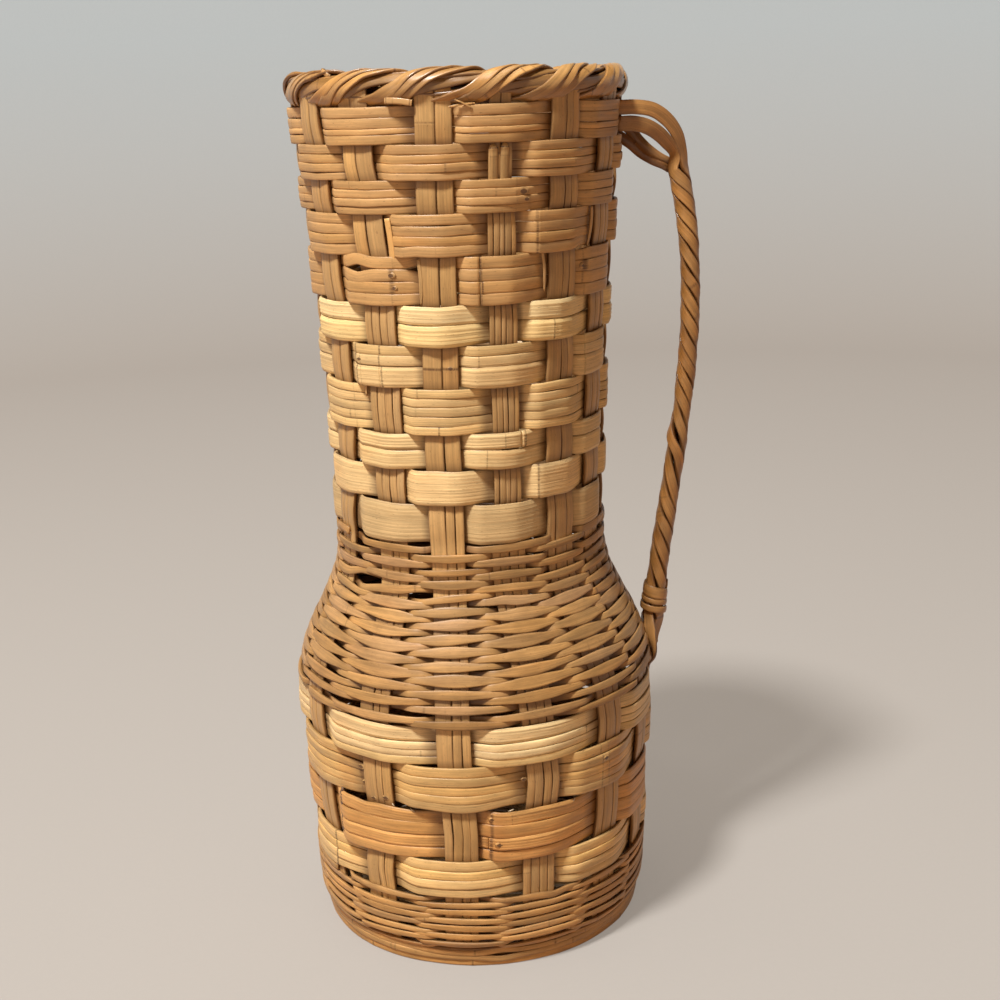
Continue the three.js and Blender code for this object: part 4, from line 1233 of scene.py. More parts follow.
# %% All bands, from the ground up
for row, low, high in zip(BODY_ROWS, body_levels[:-1], body_levels[1:]):
    node = f"body_band_{row}"
    band = Bundle()
    lay_band(band, node, row, low, high, BODY_CANES[row], BODY_TONES[row],
             BODY_JOINTS.get(row, []), BODY_FOLDS.get(row, []), BODY_BREAKS.get(row, []))
    if row == 3:
        lay_dark_twist(band)
    if row == 2:
        lay_crumbs(band)
    band.make(f"{node}_canes", BODY_FINISH, [node])
for row, low, high in zip(NECK_ROWS, neck_levels[:-1], neck_levels[1:]):
    node = f"neck_band_{row:02d}"
    band = Bundle()
    lay_band(band, node, row, low, high, NECK_CANES[row], NECK_TONES[row],
             NECK_JOINTS.get(row, []), NECK_FOLDS.get(row, []), NECK_BREAKS.get(row, []))
    if row > LOWEST_WARM_ROW:
        band.make(f"{node}_canes", PALE_FINISH, [node])
    else:
        band.make(f"{node}_canes", NECK_FINISH, [node])
print("bands laid:", made[-1])

# %% [markdown]
# ## Fine weave of the shoulder and the heel
# Round the shoulder and the heel the weaver changes to single thin canes. With an even number of stakes
# one cane alone would always pass in front of the same stakes, so two canes chase each other, half a
# turn apart. Each is pieced from several lengths whose ends meet behind a stake. Canes of one width
# would look like rows of bricks. Here a cane is broadest over a stake and draws in on both sides of
# it, and half-way to the next stake it still lies in front, so each visible part is a long spindle whose
# points slip in between those of the rows above and below.

# %% Chasing canes
FINE_REACH = 2.2 * MM
FINE_SHIFT = 0.04
FINE_STATIONS_PER_STAKE = 18
RISE_POWER = 2.4


def rise_of(turn, turns):
    """Share of the height reached after some turns: even, but level at both ends so that no gap
    stays open."""
    last = turns - 1
    x = np.clip(turn - last, 0, 1)
    height = np.where(turn < 1, np.clip(turn, 0, 1) ** RISE_POWER, np.minimum(turn, last))
    height = np.where(turn > last, last + 1 - (1 - x) ** RISE_POWER, height)
    return height / turns


def chase(first_stake, turns, lengths):
    """For each length: its stations in stakes passed since the start, and as counts round the vase."""
    total = turns * STAKES
    cuts = [2 * int(n * total / (2 * lengths)) + 1 for n in range(1, lengths)]
    edges = [-0.2, *cuts, total + 0.2]
    for a, b in zip(edges[:-1], edges[1:]):
        i = np.arange(a + 0.06, b - 0.03, 1 / FINE_STATIONS_PER_STAKE)
        yield i, first_stake + i


def fine_dip(wave):
    """1 in front of a stake and -1 behind it. Half-way between two stakes the canes are still in front."""
    return 1 - 2 * smooth(-wave / 0.9)


def per_stake(i, rng, size):
    """A value of its own for each stake that the cane passes, with smooth changes between them."""
    values = rng.normal(0, size, int(i[-1]) + 4)
    low = np.floor(i + 1).astype(int)
    return mix(values[low], values[low + 1], smooth(i + 1 - low))


print("lengths of a chasing cane, in stakes:", [round(float(i[-1] - i[0]), 1) for i, _ in chase(0, 13, 5)])

# %% How a fine cane wanders, narrows and changes its tone
FINE_TAPER = 1.7
BACK_BROADER = 0.25
BACK_FROM, BACK_FADE = 95, 20
STAKES_PER_FINE_JOINT = 3


def fine_height(i, azimuth, low, high, share, rng):
    """The height along the wall: an even rise, two slow waves round the vase and a cane's own wander."""
    s = mix(low, high, share)
    sag = 0.7 * MM * np.sin(3 * azimuth + 30 * s) + 0.5 * MM * np.sin(7 * azimuth - 47 * s)
    s = s + sag * np.sin(math.pi * share) + wobble(i, 0.3 * MM, 9, rng) + per_stake(i, rng, 0.38 * MM)
    return s + pushed_apart(azimuth, wall_at(s)[1])


def fine_spread(i, azimuth, wave, share, widths, rng):
    """The width. Widths lists (share of the height, width over a stake, width between), in mm.
    On the far side the canes are a quarter broader."""
    shares, widths_over, widths_between = zip(*widths)
    widest = np.interp(share, shares, widths_over) * MM
    narrow = np.interp(share, shares, widths_between) * MM
    own = 1 + wobble(i, 0.04, 5, rng) + per_stake(i, rng, 0.07)
    spread = mix(narrow, widest, np.maximum(0, wave) ** FINE_TAPER) * own
    from_front = np.abs(np.degrees(wrapped(azimuth)))
    return spread * (1 + BACK_BROADER * smooth((from_front - BACK_FROM) / BACK_FADE))


def fine_tone(i, tones, rng):
    """Between two tones, with a lightness of its own over each stake, and dull here and there."""
    blend = np.clip(0.5 + per_stake(i, rng, 0.35) + wobble(i, 0.3, 37, rng), 0, 1)
    tone = mix(tones[0], tones[1], blend[:, None]) * (1 + per_stake(i, rng, 0.10))[:, None]
    dull = np.clip(per_stake(i, rng, 0.5), 0, 0.8)[:, None]
    return np.clip(mix(tone, DULL_TAN, dull), 0.02, 0.9)


def fine_joints(i, rng):
    return [(rng.uniform(0, len(i)), rng.uniform(0.2, 0.75), rng.uniform(0.5, 1.1) * MM)
            for _ in range(int(len(i) / FINE_STATIONS_PER_STAKE / STAKES_PER_FINE_JOINT))]


print("fine joints in 60 stations:", len(fine_joints(np.arange(60), dice("first"))))


# %% Laying the fine weave
def lay_fine_weave(prefix, low, high, turns, lengths, widths, thick, tones):
    for letter, first_stake in (("a", 0), ("b", STAKES // 2)):
        for number, (i, count) in enumerate(chase(first_stake, turns, lengths), 1):
            node = f"{prefix}_{letter}{number}"
            rng = dice(node)
            wave = np.cos(math.pi * (i - FINE_SHIFT + per_stake(i, rng, 0.05)))
            share = rise_of(i / STAKES, turns)
            azimuth = azimuth_of_count(count, wall_at(mix(low, high, share))[1])
            s = fine_height(i, azimuth, low, high, share, rng)
            off = FINE_REACH * fine_dip(wave) + wobble(i, 0.15 * MM, 3.1, rng)
            off = off + per_stake(i, rng, 0.2 * MM)
            place, out, rise, _ = on_wall(s, azimuth, off)
            spread = fine_spread(i, azimuth, wave, share, widths, rng)
            joints = fine_joints(i, rng)
            tone = fine_tone(i, tones, rng)
            own_thick = thick * (1 + per_stake(i, rng, 0.08))
            bundle = Bundle()
            # the last argument is painted shade where the cane lies behind a stake
            bundle.lay(place, rise, out, spread, own_thick, FINE_CANE, tone, joints,
                       rng.uniform(0, 9), smooth((-0.2 - wave) / 0.45))
            bundle.make(f"{node}_weave", FINE_FINISH, [node])


print("behind a stake a fine cane lies at", round(float(FINE_REACH * fine_dip(-1.0) / MM), 2), "mm")

# %% The shoulder and the heel
SHOULDER_TURNS, SHOULDER_LENGTHS = 13, 5
SHOULDER_TONES = (HONEY * 0.80, ORANGE_TAN * 0.68)
SHOULDER_WIDTHS = (
    (0.0, 5.0, 3.7), (0.12, 5.6, 3.9), (0.25, 7.3, 4.0), (0.60, 7.3, 4.0), (0.70, 5.1, 3.9), (1.0, 4.8, 3.9),
)
HEEL_TURNS, HEEL_LENGTHS = 11, 3
HEEL_TONES = (HONEY * 0.95, ORANGE_TAN * 0.92)
HEEL_WIDTHS = ((0.0, 3.5, 2.9), (1.0, 4.0, 3.0))
HEEL_START_RADIUS = HEEL_RADIUS - HEEL_BEND - 14 * MM

shoulder_low = distance_at_height(BODY_TOP) + 2.2 * MM
shoulder_high = distance_at_height(SHOULDER_TOP) - 2.0 * MM
lay_fine_weave("shoulder_cane", shoulder_low, shoulder_high, SHOULDER_TURNS, SHOULDER_LENGTHS,
               SHOULDER_WIDTHS, 1.8 * MM, SHOULDER_TONES)
bottom = slice(BOTTOM_POINTS - 1)
heel_low = float(np.interp(HEEL_START_RADIUS, WALL_R[bottom], WALL_S[bottom]))
heel_high = distance_at_height(HEEL_TOP) - 2.0 * MM
lay_fine_weave("heel_cane", heel_low, heel_high, HEEL_TURNS, HEEL_LENGTHS,
               HEEL_WIDTHS, 1.7 * MM, HEEL_TONES)
print("fine weave laid:", made[-1])

# %% [markdown]
# ## The foot ring
# Under the heel lies a heavy cane bent into a hoop, on which the vase stands. Three thinner canes are laid
# outside it and close the weave down to the floor, so that from the side the foot looks like its last rows.

# %% Foot ring, and its outer canes as (radius, level, width, thickness) in mm
FOOT_CANE_RADIUS = 91.3 * MM
FOOT_CANE_WIDTH = 6.6 * MM
FOOT_STEPS = 240
FOOT_ENDS = (150, 509.6)
OUTER_FOOT_CANES = ((95.0, 2.4, 4.4, 2.6), (96.0, 5.9, 3.8, 2.4), (96.2, 9.0, 3.4, 2.2))


def lay_foot_ring():
    """The heavy cane lies level. The lowest outer cane is straight, the others wander like the weave."""
    bundle = Bundle()
    rng = dice("foot")
    azimuth = np.linspace(*(math.radians(end) for end in FOOT_ENDS), FOOT_STEPS)
    away = outward(azimuth)
    radius = FOOT_CANE_RADIUS + wobble(azimuth, 0.2 * MM, 2, rng)
    place = AXIS + away * radius[:, None] + UP * FOOT_HEIGHT / 2
    bundle.lay(place, -away, UP + 0 * away, FOOT_CANE_WIDTH, FOOT_HEIGHT, ROUND_CANE, HONEY * 0.8, [], 3.0)
    for n, (radius, level, width, thick) in enumerate(OUTER_FOOT_CANES):
        r = radius * MM + wobble(azimuth, 0.25 * MM, 1.1, rng)
        z = level * MM + wobble(azimuth, 0.35 * MM * min(n, 1), 1.6, rng)
        z = z + pushed_apart(wrapped(azimuth), z) * min(n, 1)
        place = AXIS + away * r[:, None] + UP * z[:, None]
        joints = [(rng.uniform(0, FOOT_STEPS), rng.uniform(0.4, 0.9), 0.8 * MM) for _ in range(9)]
        own_width = width * MM * (1 + wobble(azimuth, 0.06, 0.5, rng))
        tone = tinted(mix(HONEY, ORANGE_TAN, rng.uniform(0, 1)) * 0.95, rng)
        bundle.lay(place, UP + 0 * away, away, own_width, thick * MM, FINE_CANE,
                   tone, joints, rng.uniform(0, 9))
    bundle.make("foot_ring_cane", FINE_FINISH, ["foot_ring"])


lay_foot_ring()
print("foot ring laid:", made[-1])

# %% [markdown]
# ## The rope border
# The ends of the stakes are locked in a border that looks like a rope of two parts. Each part is three
# flat canes side by side. As they wind round, each part shows on the outside as a slanting lobe, flat at
# the top and the bottom and steep in the middle, one for each stake. A twisted tube would be too smooth,
# so each cane is laid by itself on the surface of a rope with an oval section. A few canes run nearly
# level inside it and show in the slots between the lobes. They are coloured dark as painted shade of the
# inside of the rope.

# %% The rope of the rim
RIM_RADIUS = 87.2 * MM
RIM_LEVEL = NECK_TOP + 9.06 * MM
RIM_WIDTH = 15 * MM
RIM_HEIGHT = 18 * MM
RIM_TURNS = 7
RIM_PHASE = math.radians(20)
RIM_CANES_PER_PART = 3
RIM_CANE_STEP = math.radians(34)
RIM_STEEPENING = 0.3
RIM_POINTS = 620
RIM_THICKNESS = 1.7 * MM
CORE_CANES = 3
CORE_POINTS = 300
CORE_TURNS = 2.2
CORE_REACH = 0.64


def rope_place(azimuth, angle, reach):
    """A place on the rope: angle 0 is away from the axis and 90 degrees is up."""
    away = outward(azimuth)
    out = away * np.cos(angle)[:, None] + UP * np.sin(angle)[:, None]
    centre = AXIS + away * RIM_RADIUS + UP * RIM_LEVEL
    aside = np.cos(angle) * RIM_WIDTH / 2 * reach
    above = np.sin(angle) * RIM_HEIGHT / 2 * reach
    return centre + (away * aside[:, None] + UP * above[:, None]), out


print("the rope lies", round(RIM_LEVEL, 4), "m above the ground")

# %% Cut and frayed ends that stick out of the border
# from and to as (azimuth, height), then width, lift and thickness in mm
RIM_ENDS = (
    ((-22.5, 0.4836), (-13.8, 0.4822), 3.2, 2.6, 1.8),
    ((-2.5, 0.4797), (5.5, 0.4812), 1.0, 2.8, 0.9),
    ((-0.5, 0.4832), (4.6, 0.4788), 0.8, 3.6, 0.8),
    ((-46.5, 0.4960), (-50.0, 0.4992), 2.6, -3.0, 1.6),
)
RIM_END_RINGS = [(0.9, 0.8, 0.5 * MM), (4.2, 0.6, 0.4 * MM), (12.1, 0.8, 0.5 * MM)]


def lay_rim_ends(bundle):
    for n, (start, end, width, lift, thick) in enumerate(RIM_ENDS):
        t = np.linspace(0, 1, 14)
        bow = np.sin(math.pi * t)
        away = outward(np.radians(mix(start[0], end[0], t)))
        z = mix(start[1], end[1], t) + 0.4 * MM * bow
        r = radius_at_height(z) + (lift + 0.6 * bow) * MM
        place = AXIS + away * r[:, None] + UP * z[:, None]
        tone = tinted(HONEY, dice("rim end", n))
        bundle.lay(place, UP + 0 * away, away, width * MM, thick * MM, FINE_CANE,
                   tone, RIM_END_RINGS, 4.0 + n)


print("frayed ends:", len(RIM_ENDS))


# %% Laying the rim
def lay_lobe_cane(bundle, part, name, c):
    rng = dice("rim", name, c)
    azimuth = np.linspace(math.radians(140), math.radians(500), RIM_POINTS)
    lane = c - (RIM_CANES_PER_PART - 1) / 2
    sway = wobble(azimuth, 0.10, 1.3, rng) + wobble(azimuth, 0.04, 0.35, rng)
    angle = math.pi / 2 + RIM_TURNS * azimuth + RIM_PHASE + part * math.pi
    angle = angle + RIM_STEEPENING / 2 * np.sin(2 * angle) + lane * RIM_CANE_STEP + sway
    reach = 0.92 - 0.03 * lane ** 2 + wobble(azimuth, 0.03, 0.5, rng)
    place, out = rope_place(azimuth, angle, reach)
    travel = unit(np.gradient(place, axis=0))
    across = np.cross(out, travel)
    tilt = 0.16 + wobble(azimuth, 0.12, 0.7, rng)
    leaning = out * np.cos(tilt)[:, None] + across * np.sin(tilt)[:, None]
    width = rng.uniform(5.2, 6.1) * MM * (1 + wobble(azimuth, 0.12, 0.45, rng))
    joints = [(rng.uniform(0, RIM_POINTS), rng.uniform(0.4, 1.0), rng.uniform(0.6, 1.4) * MM)
              for _ in range(9)]
    tone = tinted(mix(HONEY, BARK, rng.uniform(0, 1)) * 0.9, rng, 0.08)
    bundle.lay(place, np.cross(leaning, travel), leaning, width, RIM_THICKNESS, FLAT_CANE,
               tone, joints, rng.uniform(0, 9))


def lay_core_cane(bundle, part, name, c):
    rng = dice("rim core", name, c)
    azimuth = np.linspace(math.radians(140), math.radians(499.5), CORE_POINTS)
    angle = 2 * math.pi * c / CORE_CANES + part * math.pi / CORE_CANES + azimuth * CORE_TURNS
    angle = angle + wobble(azimuth, 0.4, 1.2, rng)
    place, out = rope_place(azimuth, angle, CORE_REACH + wobble(azimuth, 0.06, 0.6, rng))
    across = np.cross(out, unit(np.gradient(place, axis=0)))
    joints = [(rng.uniform(0, CORE_POINTS), rng.uniform(0.5, 1.0), 0.9 * MM) for _ in range(5)]
    # coloured dark as painted shade of the inside of the rope
    tone = tinted(BARK * 0.6, rng, 0.08)
    bundle.lay(place, across, out, 6.2 * MM, 2.2 * MM, FLAT_CANE, tone, joints, rng.uniform(0, 9))


for part, name in enumerate("ab"):
    rim_part = Bundle()
    for c in range(RIM_CANES_PER_PART):
        lay_lobe_cane(rim_part, part, name, c)
    for c in range(CORE_CANES):
        lay_core_cane(rim_part, part, name, c)
    if name == "a":
        lay_rim_ends(rim_part)
    rim_part.make(f"rim_part_{name}", RIM_FINISH, [f"rim_ply_{name}"])
print("rim laid:", made[-1])

# %% [markdown]
# ## The handle
# Four strips are twisted together five times and keep their shape because cane is bent wet. At the top the
# rope opens again: each strip turns flat, runs to the stake and goes round its edge, two from each
# side. At the foot a strip is wound round the rope three times, and below it the four ends spread over the
# stake and are tucked under a band of the body. One twisted tube could stand for the rope, but not for
# its ends, so each strip is followed through all three parts, from the body to the hook.

# %% The middle line of the rope, in the plane of the handle
ROPE_AZIMUTH = float(stake_azimuth(HANDLE_STAKE, 0.0)[0] + stake_azimuth(HANDLE_STAKE, NECK_TOP)[0]) / 2
# four control points, each as distance from the axis and height in mm
ROPE_LINE = np.array([(109.3, 177.0), (118.4, 264.85), (144.1, 352.7), (124.3, 440.55)]) * MM
ROPE_DIAMETER = 11.2 * MM
ROPE_TURNS = 5
ROPE_TIGHTENING = 0.2
STRIP_THICKNESS = 1.7 * MM
STAKE_CLEARANCE = 0.4 * MM


def bezier(points, t):
    """Places on a curve through four control points, and its direction there."""
    t = np.asarray(t, float)[:, None]
    a, b, c, d = points
    place = (1 - t) ** 3 * a + 3 * (1 - t) ** 2 * t * b + 3 * (1 - t) * t ** 2 * c + t ** 3 * d
    slope = 3 * (1 - t) ** 2 * (b - a) + 6 * (1 - t) * t * (c - b) + 3 * t ** 2 * (d - c)
    return place, unit(slope)


def in_handle_plane(points, t, azimuth):
    """Places on a curve of the handle's plane, with the directions along, away from the vase and sideways."""
    p, d = bezier(points, t)
    azimuth = np.broadcast_to(azimuth, p[:, 0].shape)
    away_from_axis = outward(azimuth)
    origin = AXIS + away_from_axis * p[:, :1] + UP * p[:, 1:]
    travel = away_from_axis * d[:, :1] + UP * d[:, 1:]
    away = away_from_axis * d[:, 1:] - UP * d[:, :1]
    return origin, travel, away, sideways(azimuth)


print("the handle stands at azimuth", round(math.degrees(ROPE_AZIMUTH), 1))

# %% The twist: one strip in the rope, which is slack and thin in places
ROPE_POINTS = 190
ROPE_STRIP_WIDTH = 6.3 * MM
ROPE_STRIP_THICKNESS = 2.5 * MM
ROPE_SWELL = (
    (0.0, 1.0), (0.15, 0.98), (0.33, 0.92), (0.40, 0.94), (0.47, 0.82),
    (0.54, 0.93), (0.7, 0.91), (0.85, 0.95), (1.0, 1.0),
)
UNEVEN_TWIST = 0.42
UNEVEN_WAVES = 2.4
LOOSE_STRAND = 1
LOOSE_AT = 0.40
LOOSE_REACH = 0.03
LOOSE_LIFT = 2.4 * MM


def rope_angle(t, quarter):
    turned = (t + ROPE_TIGHTENING * (t * t - t)) * ROPE_TURNS * 2 * math.pi
    return math.radians(45 + 90 * quarter) - turned


def twist_of(quarter, rng):
    t = np.linspace(0, 1, ROPE_POINTS)
    origin, travel, away, side = in_handle_plane(ROPE_LINE, t, ROPE_AZIMUTH)
    uneven = UNEVEN_TWIST * np.sin(2 * math.pi * UNEVEN_WAVES * t + 0.6) * np.sin(math.pi * t)
    angle = rope_angle(t, quarter) + uneven + wobble(t, 0.16, 0.31, rng)
    front = away * np.cos(angle)[:, None] + side * np.sin(angle)[:, None]
    swell = np.interp(t, *zip(*ROPE_SWELL))
    radius = (ROPE_DIAMETER / 2 * swell) - ROPE_STRIP_THICKNESS / 2 + 0.25 * MM
    radius = radius + wobble(t, 0.22 * MM, 0.17, rng)
    if quarter == LOOSE_STRAND:
        radius = radius + LOOSE_LIFT * np.exp(-(((t - LOOSE_AT) / LOOSE_REACH) ** 2))
    width = ROPE_STRIP_WIDTH * swell * (1 + wobble(t, 0.07, 0.23, rng))
    place = origin + front * radius[:, None]
    return place, -np.cross(travel, front), front, width, np.full(len(t), ROPE_STRIP_THICKNESS)


print("the rope has", ROPE_TURNS, "turns and is thinnest at", min(share for _, share in ROPE_SWELL))

# %% The leg: from under a body band up over the stake to the binding, at five measured heights
LEG_WIDTH = 4.8 * MM
LEG_LANE = 5 * MM
LEG_HEIGHTS = (104.5, 128, 147, 151.8)
LEG_TOPS = {True: 157, False: 166}
LEG_OFFSETS = (2.35, 2.35, 2.35, 4.75, 4.9)
NEAR_LANES = (0, 0, 3.0, 6.0, 5.0)
NEAR_TURN = math.radians(62)
NEAR_WIDTHS = (6.0 * MM, 8.6 * MM)


def leg_of(outer, far):
    """Outer strips lie in the middle of the stake. The near ones (far = -1) lean to the front and turn
    their broad side to it where they leave the vase."""
    lane = far * LEG_LANE * (0.5 if outer else 1.5)
    heights = np.array([*LEG_HEIGHTS, LEG_TOPS[outer]]) * MM
    lanes = np.full(5, lane)
    if far < 0:
        lanes = lanes - np.array(NEAR_LANES) * MM
    azimuth = stake_azimuth(HANDLE_STAKE, heights) + lanes / radius_at_height(heights)
    place, out, _, across = on_wall(distance_at_height(heights), azimuth, np.array(LEG_OFFSETS) * MM)
    face = 1 if outer else -1
    across, out = across * -face, out * face
    width = np.full(5, LEG_WIDTH)
    if far < 0:
        away, side = outward(azimuth)[-1], sideways(azimuth)[-1]
        out[-1] = away * face * math.cos(NEAR_TURN) - side * math.sin(NEAR_TURN)
        across[-1] = -away * math.sin(NEAR_TURN) - side * face * math.cos(NEAR_TURN)
        width[-2:] = NEAR_WIDTHS
    return place, across, out, width, np.full(5, STRIP_THICKNESS)


print("a leg starts", LEG_HEIGHTS[0], "mm above the ground")

# %% The hook: from the end of the rope to the stake and round its edge
HOOK_GAP = 0.8 * MM
HOOK_LEVELS = (468.2, 460.8, 467.1, 475.9)
HOOK_STRIP_WIDTHS = (6.6, 6.4, 8.4, 8.0)
# distance from the axis and height, in mm
HOOK_WAYS = (
    ((121.0, 443.8), (113.5, 447.4), (106.5, 452.8), (101.5, 458.2), (97.5, 463.5)),
    ((118.5, 442.3), (110.8, 446.2), (103.8, 450.4), (97.6, 455.6)),
    ((121.8, 449.0), (116.8, 456.0), (110.5, 461.8), (103.5, 465.6), (97.2, 467.1)),
    ((126.0, 450.0), (122.6, 460.0), (116.2, 468.4), (107.6, 474.2), (98.2, 475.9)),
)


def hook_of(quarter, far):
    """From the end of the rope to the stake: each strip has its own way, turning its face to the side."""
    points = np.array(HOOK_WAYS[quarter]) * MM
    t = np.linspace(0, 1, len(points) + 1)[1:]
    azimuth = mix(ROPE_AZIMUTH, float(stake_azimuth(HANDLE_STAKE, NECK_TOP)[0]), t)
    away_from_axis = outward(azimuth)
    along = unit(np.gradient(np.concatenate([ROPE_LINE[3:], points]), axis=0)[1:])
    travel = away_from_axis * along[:, :1] + UP * along[:, 1:]
    away = away_from_axis * along[:, 1:] - UP * along[:, :1]
    side = sideways(azimuth)
    angle = far * np.radians(mix(45 if quarter % 3 == 0 else 135, 90, smooth(t * 1.15)))
    front = away * np.cos(angle)[:, None] + side * np.sin(angle)[:, None]
    clear_side = STAKE_WIDTH / 2 + STAKE_CLEARANCE + STRIP_THICKNESS / 2
    reach = mix(ROPE_DIAMETER / 4, clear_side, smooth(t))
    place = AXIS + away_from_axis * points[:, :1] + UP * points[:, 1:] + side * (far * reach)[:, None]
    width = mix(ROPE_STRIP_WIDTH, HOOK_STRIP_WIDTHS[quarter] * MM, smooth(t * 2))
    thick = np.full(len(t), STRIP_THICKNESS)
    way = (place, -np.cross(travel, front), front, width, thick)
    return way, round_stake(HOOK_LEVELS[quarter] * MM, far, width[-1])


def round_stake(level, far, strip_width):
    """Round the edge of the stake and flat behind it, nearly to its middle."""
    bend = STAKE_CLEARANCE + STRIP_THICKNESS / 2
    turn = np.concatenate([np.linspace(0, math.pi / 2, 9), np.full(5, math.pi / 2)])
    side = STAKE_WIDTH / 2 + bend * np.cos(turn)
    side[9:] = np.linspace(STAKE_WIDTH / 2 - 2 * MM, HOOK_GAP / 2, 5)
    off = -STAKE_THICKNESS / 2 - bend * np.sin(turn)
    s = np.full(len(turn), distance_at_height(level))
    azimuth = np.full(len(turn), float(stake_azimuth(HANDLE_STAKE, level)[0]))
    place, out, rise, across = on_wall(s, azimuth, off)
    place = place + across * (far * side)[:, None]
    front = across * (far * np.cos(turn))[:, None] - out * np.sin(turn)[:, None]
    return place, rise * far, front, np.full(len(turn), strip_width), np.full(len(turn), STRIP_THICKNESS)


print("hooks round the stake at", HOOK_LEVELS, "mm")

# %% Joining the three parts
HANDLE_STATION = 1.6 * MM


def through(stations, step):
    """Fills in measured stations: a smooth curve through the places, and directions and sizes
    between them."""
    place, across, out, width, thick = stations
    gaps = np.linalg.norm(np.diff(place, axis=0), axis=1)
    at = np.concatenate([[0], np.cumsum(gaps)])
    slope = np.gradient(place, at, axis=0)
    fills = [np.linspace(a, b, max(2, int((b - a) / step) + 1))[:-1] for a, b in zip(at[:-1], at[1:])]
    fine = np.concatenate([*fills, at[-1:]])
    i = np.clip(np.searchsorted(at, fine, side="right") - 1, 0, len(at) - 2)
    span = at[i + 1] - at[i]
    t = ((fine - at[i]) / span)[:, None]
    curve = (2 * t ** 3 - 3 * t ** 2 + 1) * place[i] + (t ** 3 - 2 * t ** 2 + t) * span[:, None] * slope[i]
    curve += (3 * t ** 2 - 2 * t ** 3) * place[i + 1] + (t ** 3 - t ** 2) * span[:, None] * slope[i + 1]
    blend = [mix(v[i], v[i + 1], t) for v in (across, out)]
    sizes = [np.interp(fine, at, v) for v in (width, thick)]
    return (curve, *blend, *sizes)


print("a strip of the handle gets a ring at every", round(HANDLE_STATION / MM, 1), "mm")

# %% Laying the four strips
for quarter in range(4):
    rng = dice("handle", quarter)
    outer = quarter % 3 == 0
    far = 1 if quarter < 2 else -1
    twist = twist_of(quarter, rng)
    parts = (leg_of(outer, far), twist, *hook_of(quarter, far))
    gathered = tuple(np.concatenate(rows) for rows in zip(*parts))
    place, across, out, width, thick = through(gathered, HANDLE_STATION)
    joints = [(rng.uniform(0, len(place)), rng.uniform(0.4, 0.9), rng.uniform(0.7, 1.4) * MM)
              for _ in range(5)]
    tone = tinted(mix(BARK, BROWN_BARK, rng.uniform(0, 0.8)), rng, 0.07)
    strip_bundle = Bundle()
    strip_bundle.lay(place, across, out, width, thick, CANE, tone, joints, rng.uniform(0, 9))
    node = f"handle_strand_{quarter + 1}"
    strip_bundle.make(f"handle_strip_{quarter + 1}", HANDLE_FINISH, [node])
print("handle laid:", made[-1])

# %% The binding, wound three times round the foot of the rope
BINDING_TURNS = 3
BINDING_POINTS = 28
BINDING_CLIMB = (2.2, 6.6, 11.8, 17.4)
BINDING_WIDTHS = ((0, 4.2), (0.8, 4.0), (1.2, 3.2), (1.8, 3.4), (2.1, 7.4), (3, 7.8))

i = np.linspace(0, BINDING_TURNS, BINDING_TURNS * BINDING_POINTS)
rope_way = bezier(ROPE_LINE, np.linspace(0, 1, 200))[0]
rope_length = np.linalg.norm(np.diff(rope_way, axis=0), axis=1).sum()
climb = np.interp(i, range(BINDING_TURNS + 1), BINDING_CLIMB) * MM
climb = climb + wobble(i, 0.2 * MM, 1.3, dice("binding"))
origin, travel, away, side = in_handle_plane(ROPE_LINE, climb / rope_length, ROPE_AZIMUTH)
angle = -i * 2 * math.pi
front = away * np.cos(angle)[:, None] + side * np.sin(angle)[:, None]
place = origin + front * (ROPE_DIAMETER / 2 + mix(1.9, 1.0, i / BINDING_TURNS) * MM)[:, None]
width = np.interp(i, *zip(*BINDING_WIDTHS)) * MM
binding = Bundle()
binding.lay(place, travel, front, width, 1.6 * MM, FLAT_CANE, BARK, [(40, 0.7, 0.8 * MM)], 4.0)
binding.make("handle_binding_strip", HANDLE_FINISH, ["handle_binding"])
print("binding laid:", made[-1])
print("object has", sum(m[1] for m in made), "canes and", sum(m[2] for m in made), "faces")

# %% [markdown]
# ## Where it stands, the light and the camera
# The vase stands on a pale floor before a light grey wall. A lamp high up in front and to the left makes
# the dark triangles under the rows, and the surroundings lift the shaded side. The wall curves round at
# a distance, so it doesn't cut off any view. A floor as pale as it should look would throw so much light
# back that the slots of the weave turn grey. So the floor lights the vase in a darker, warmer room tone,
# and a soft glow that only the camera, reflections and clear things see makes it pale. Under the foot
# the glow is off, because there it would shine out between the canes.

# %% Floor and backdrop in one sweep
FLOOR_TONE = from_screen(132, 128, 124)
WALL_TONE = from_screen(152, 159, 164)
FLOOR_GLOW = from_screen(142, 135, 127)
WALL_GLOW = from_screen(138, 143, 142)
ROOM_TONE = from_screen(152, 124, 100)
DARK_UNDER_FOOT = (86 * MM, 96 * MM)
FLOOR_REACH = 2.0
COVE_RADIUS = 0.6
WALL_HEIGHT = 1.6
SWEEP_STEPS = 96


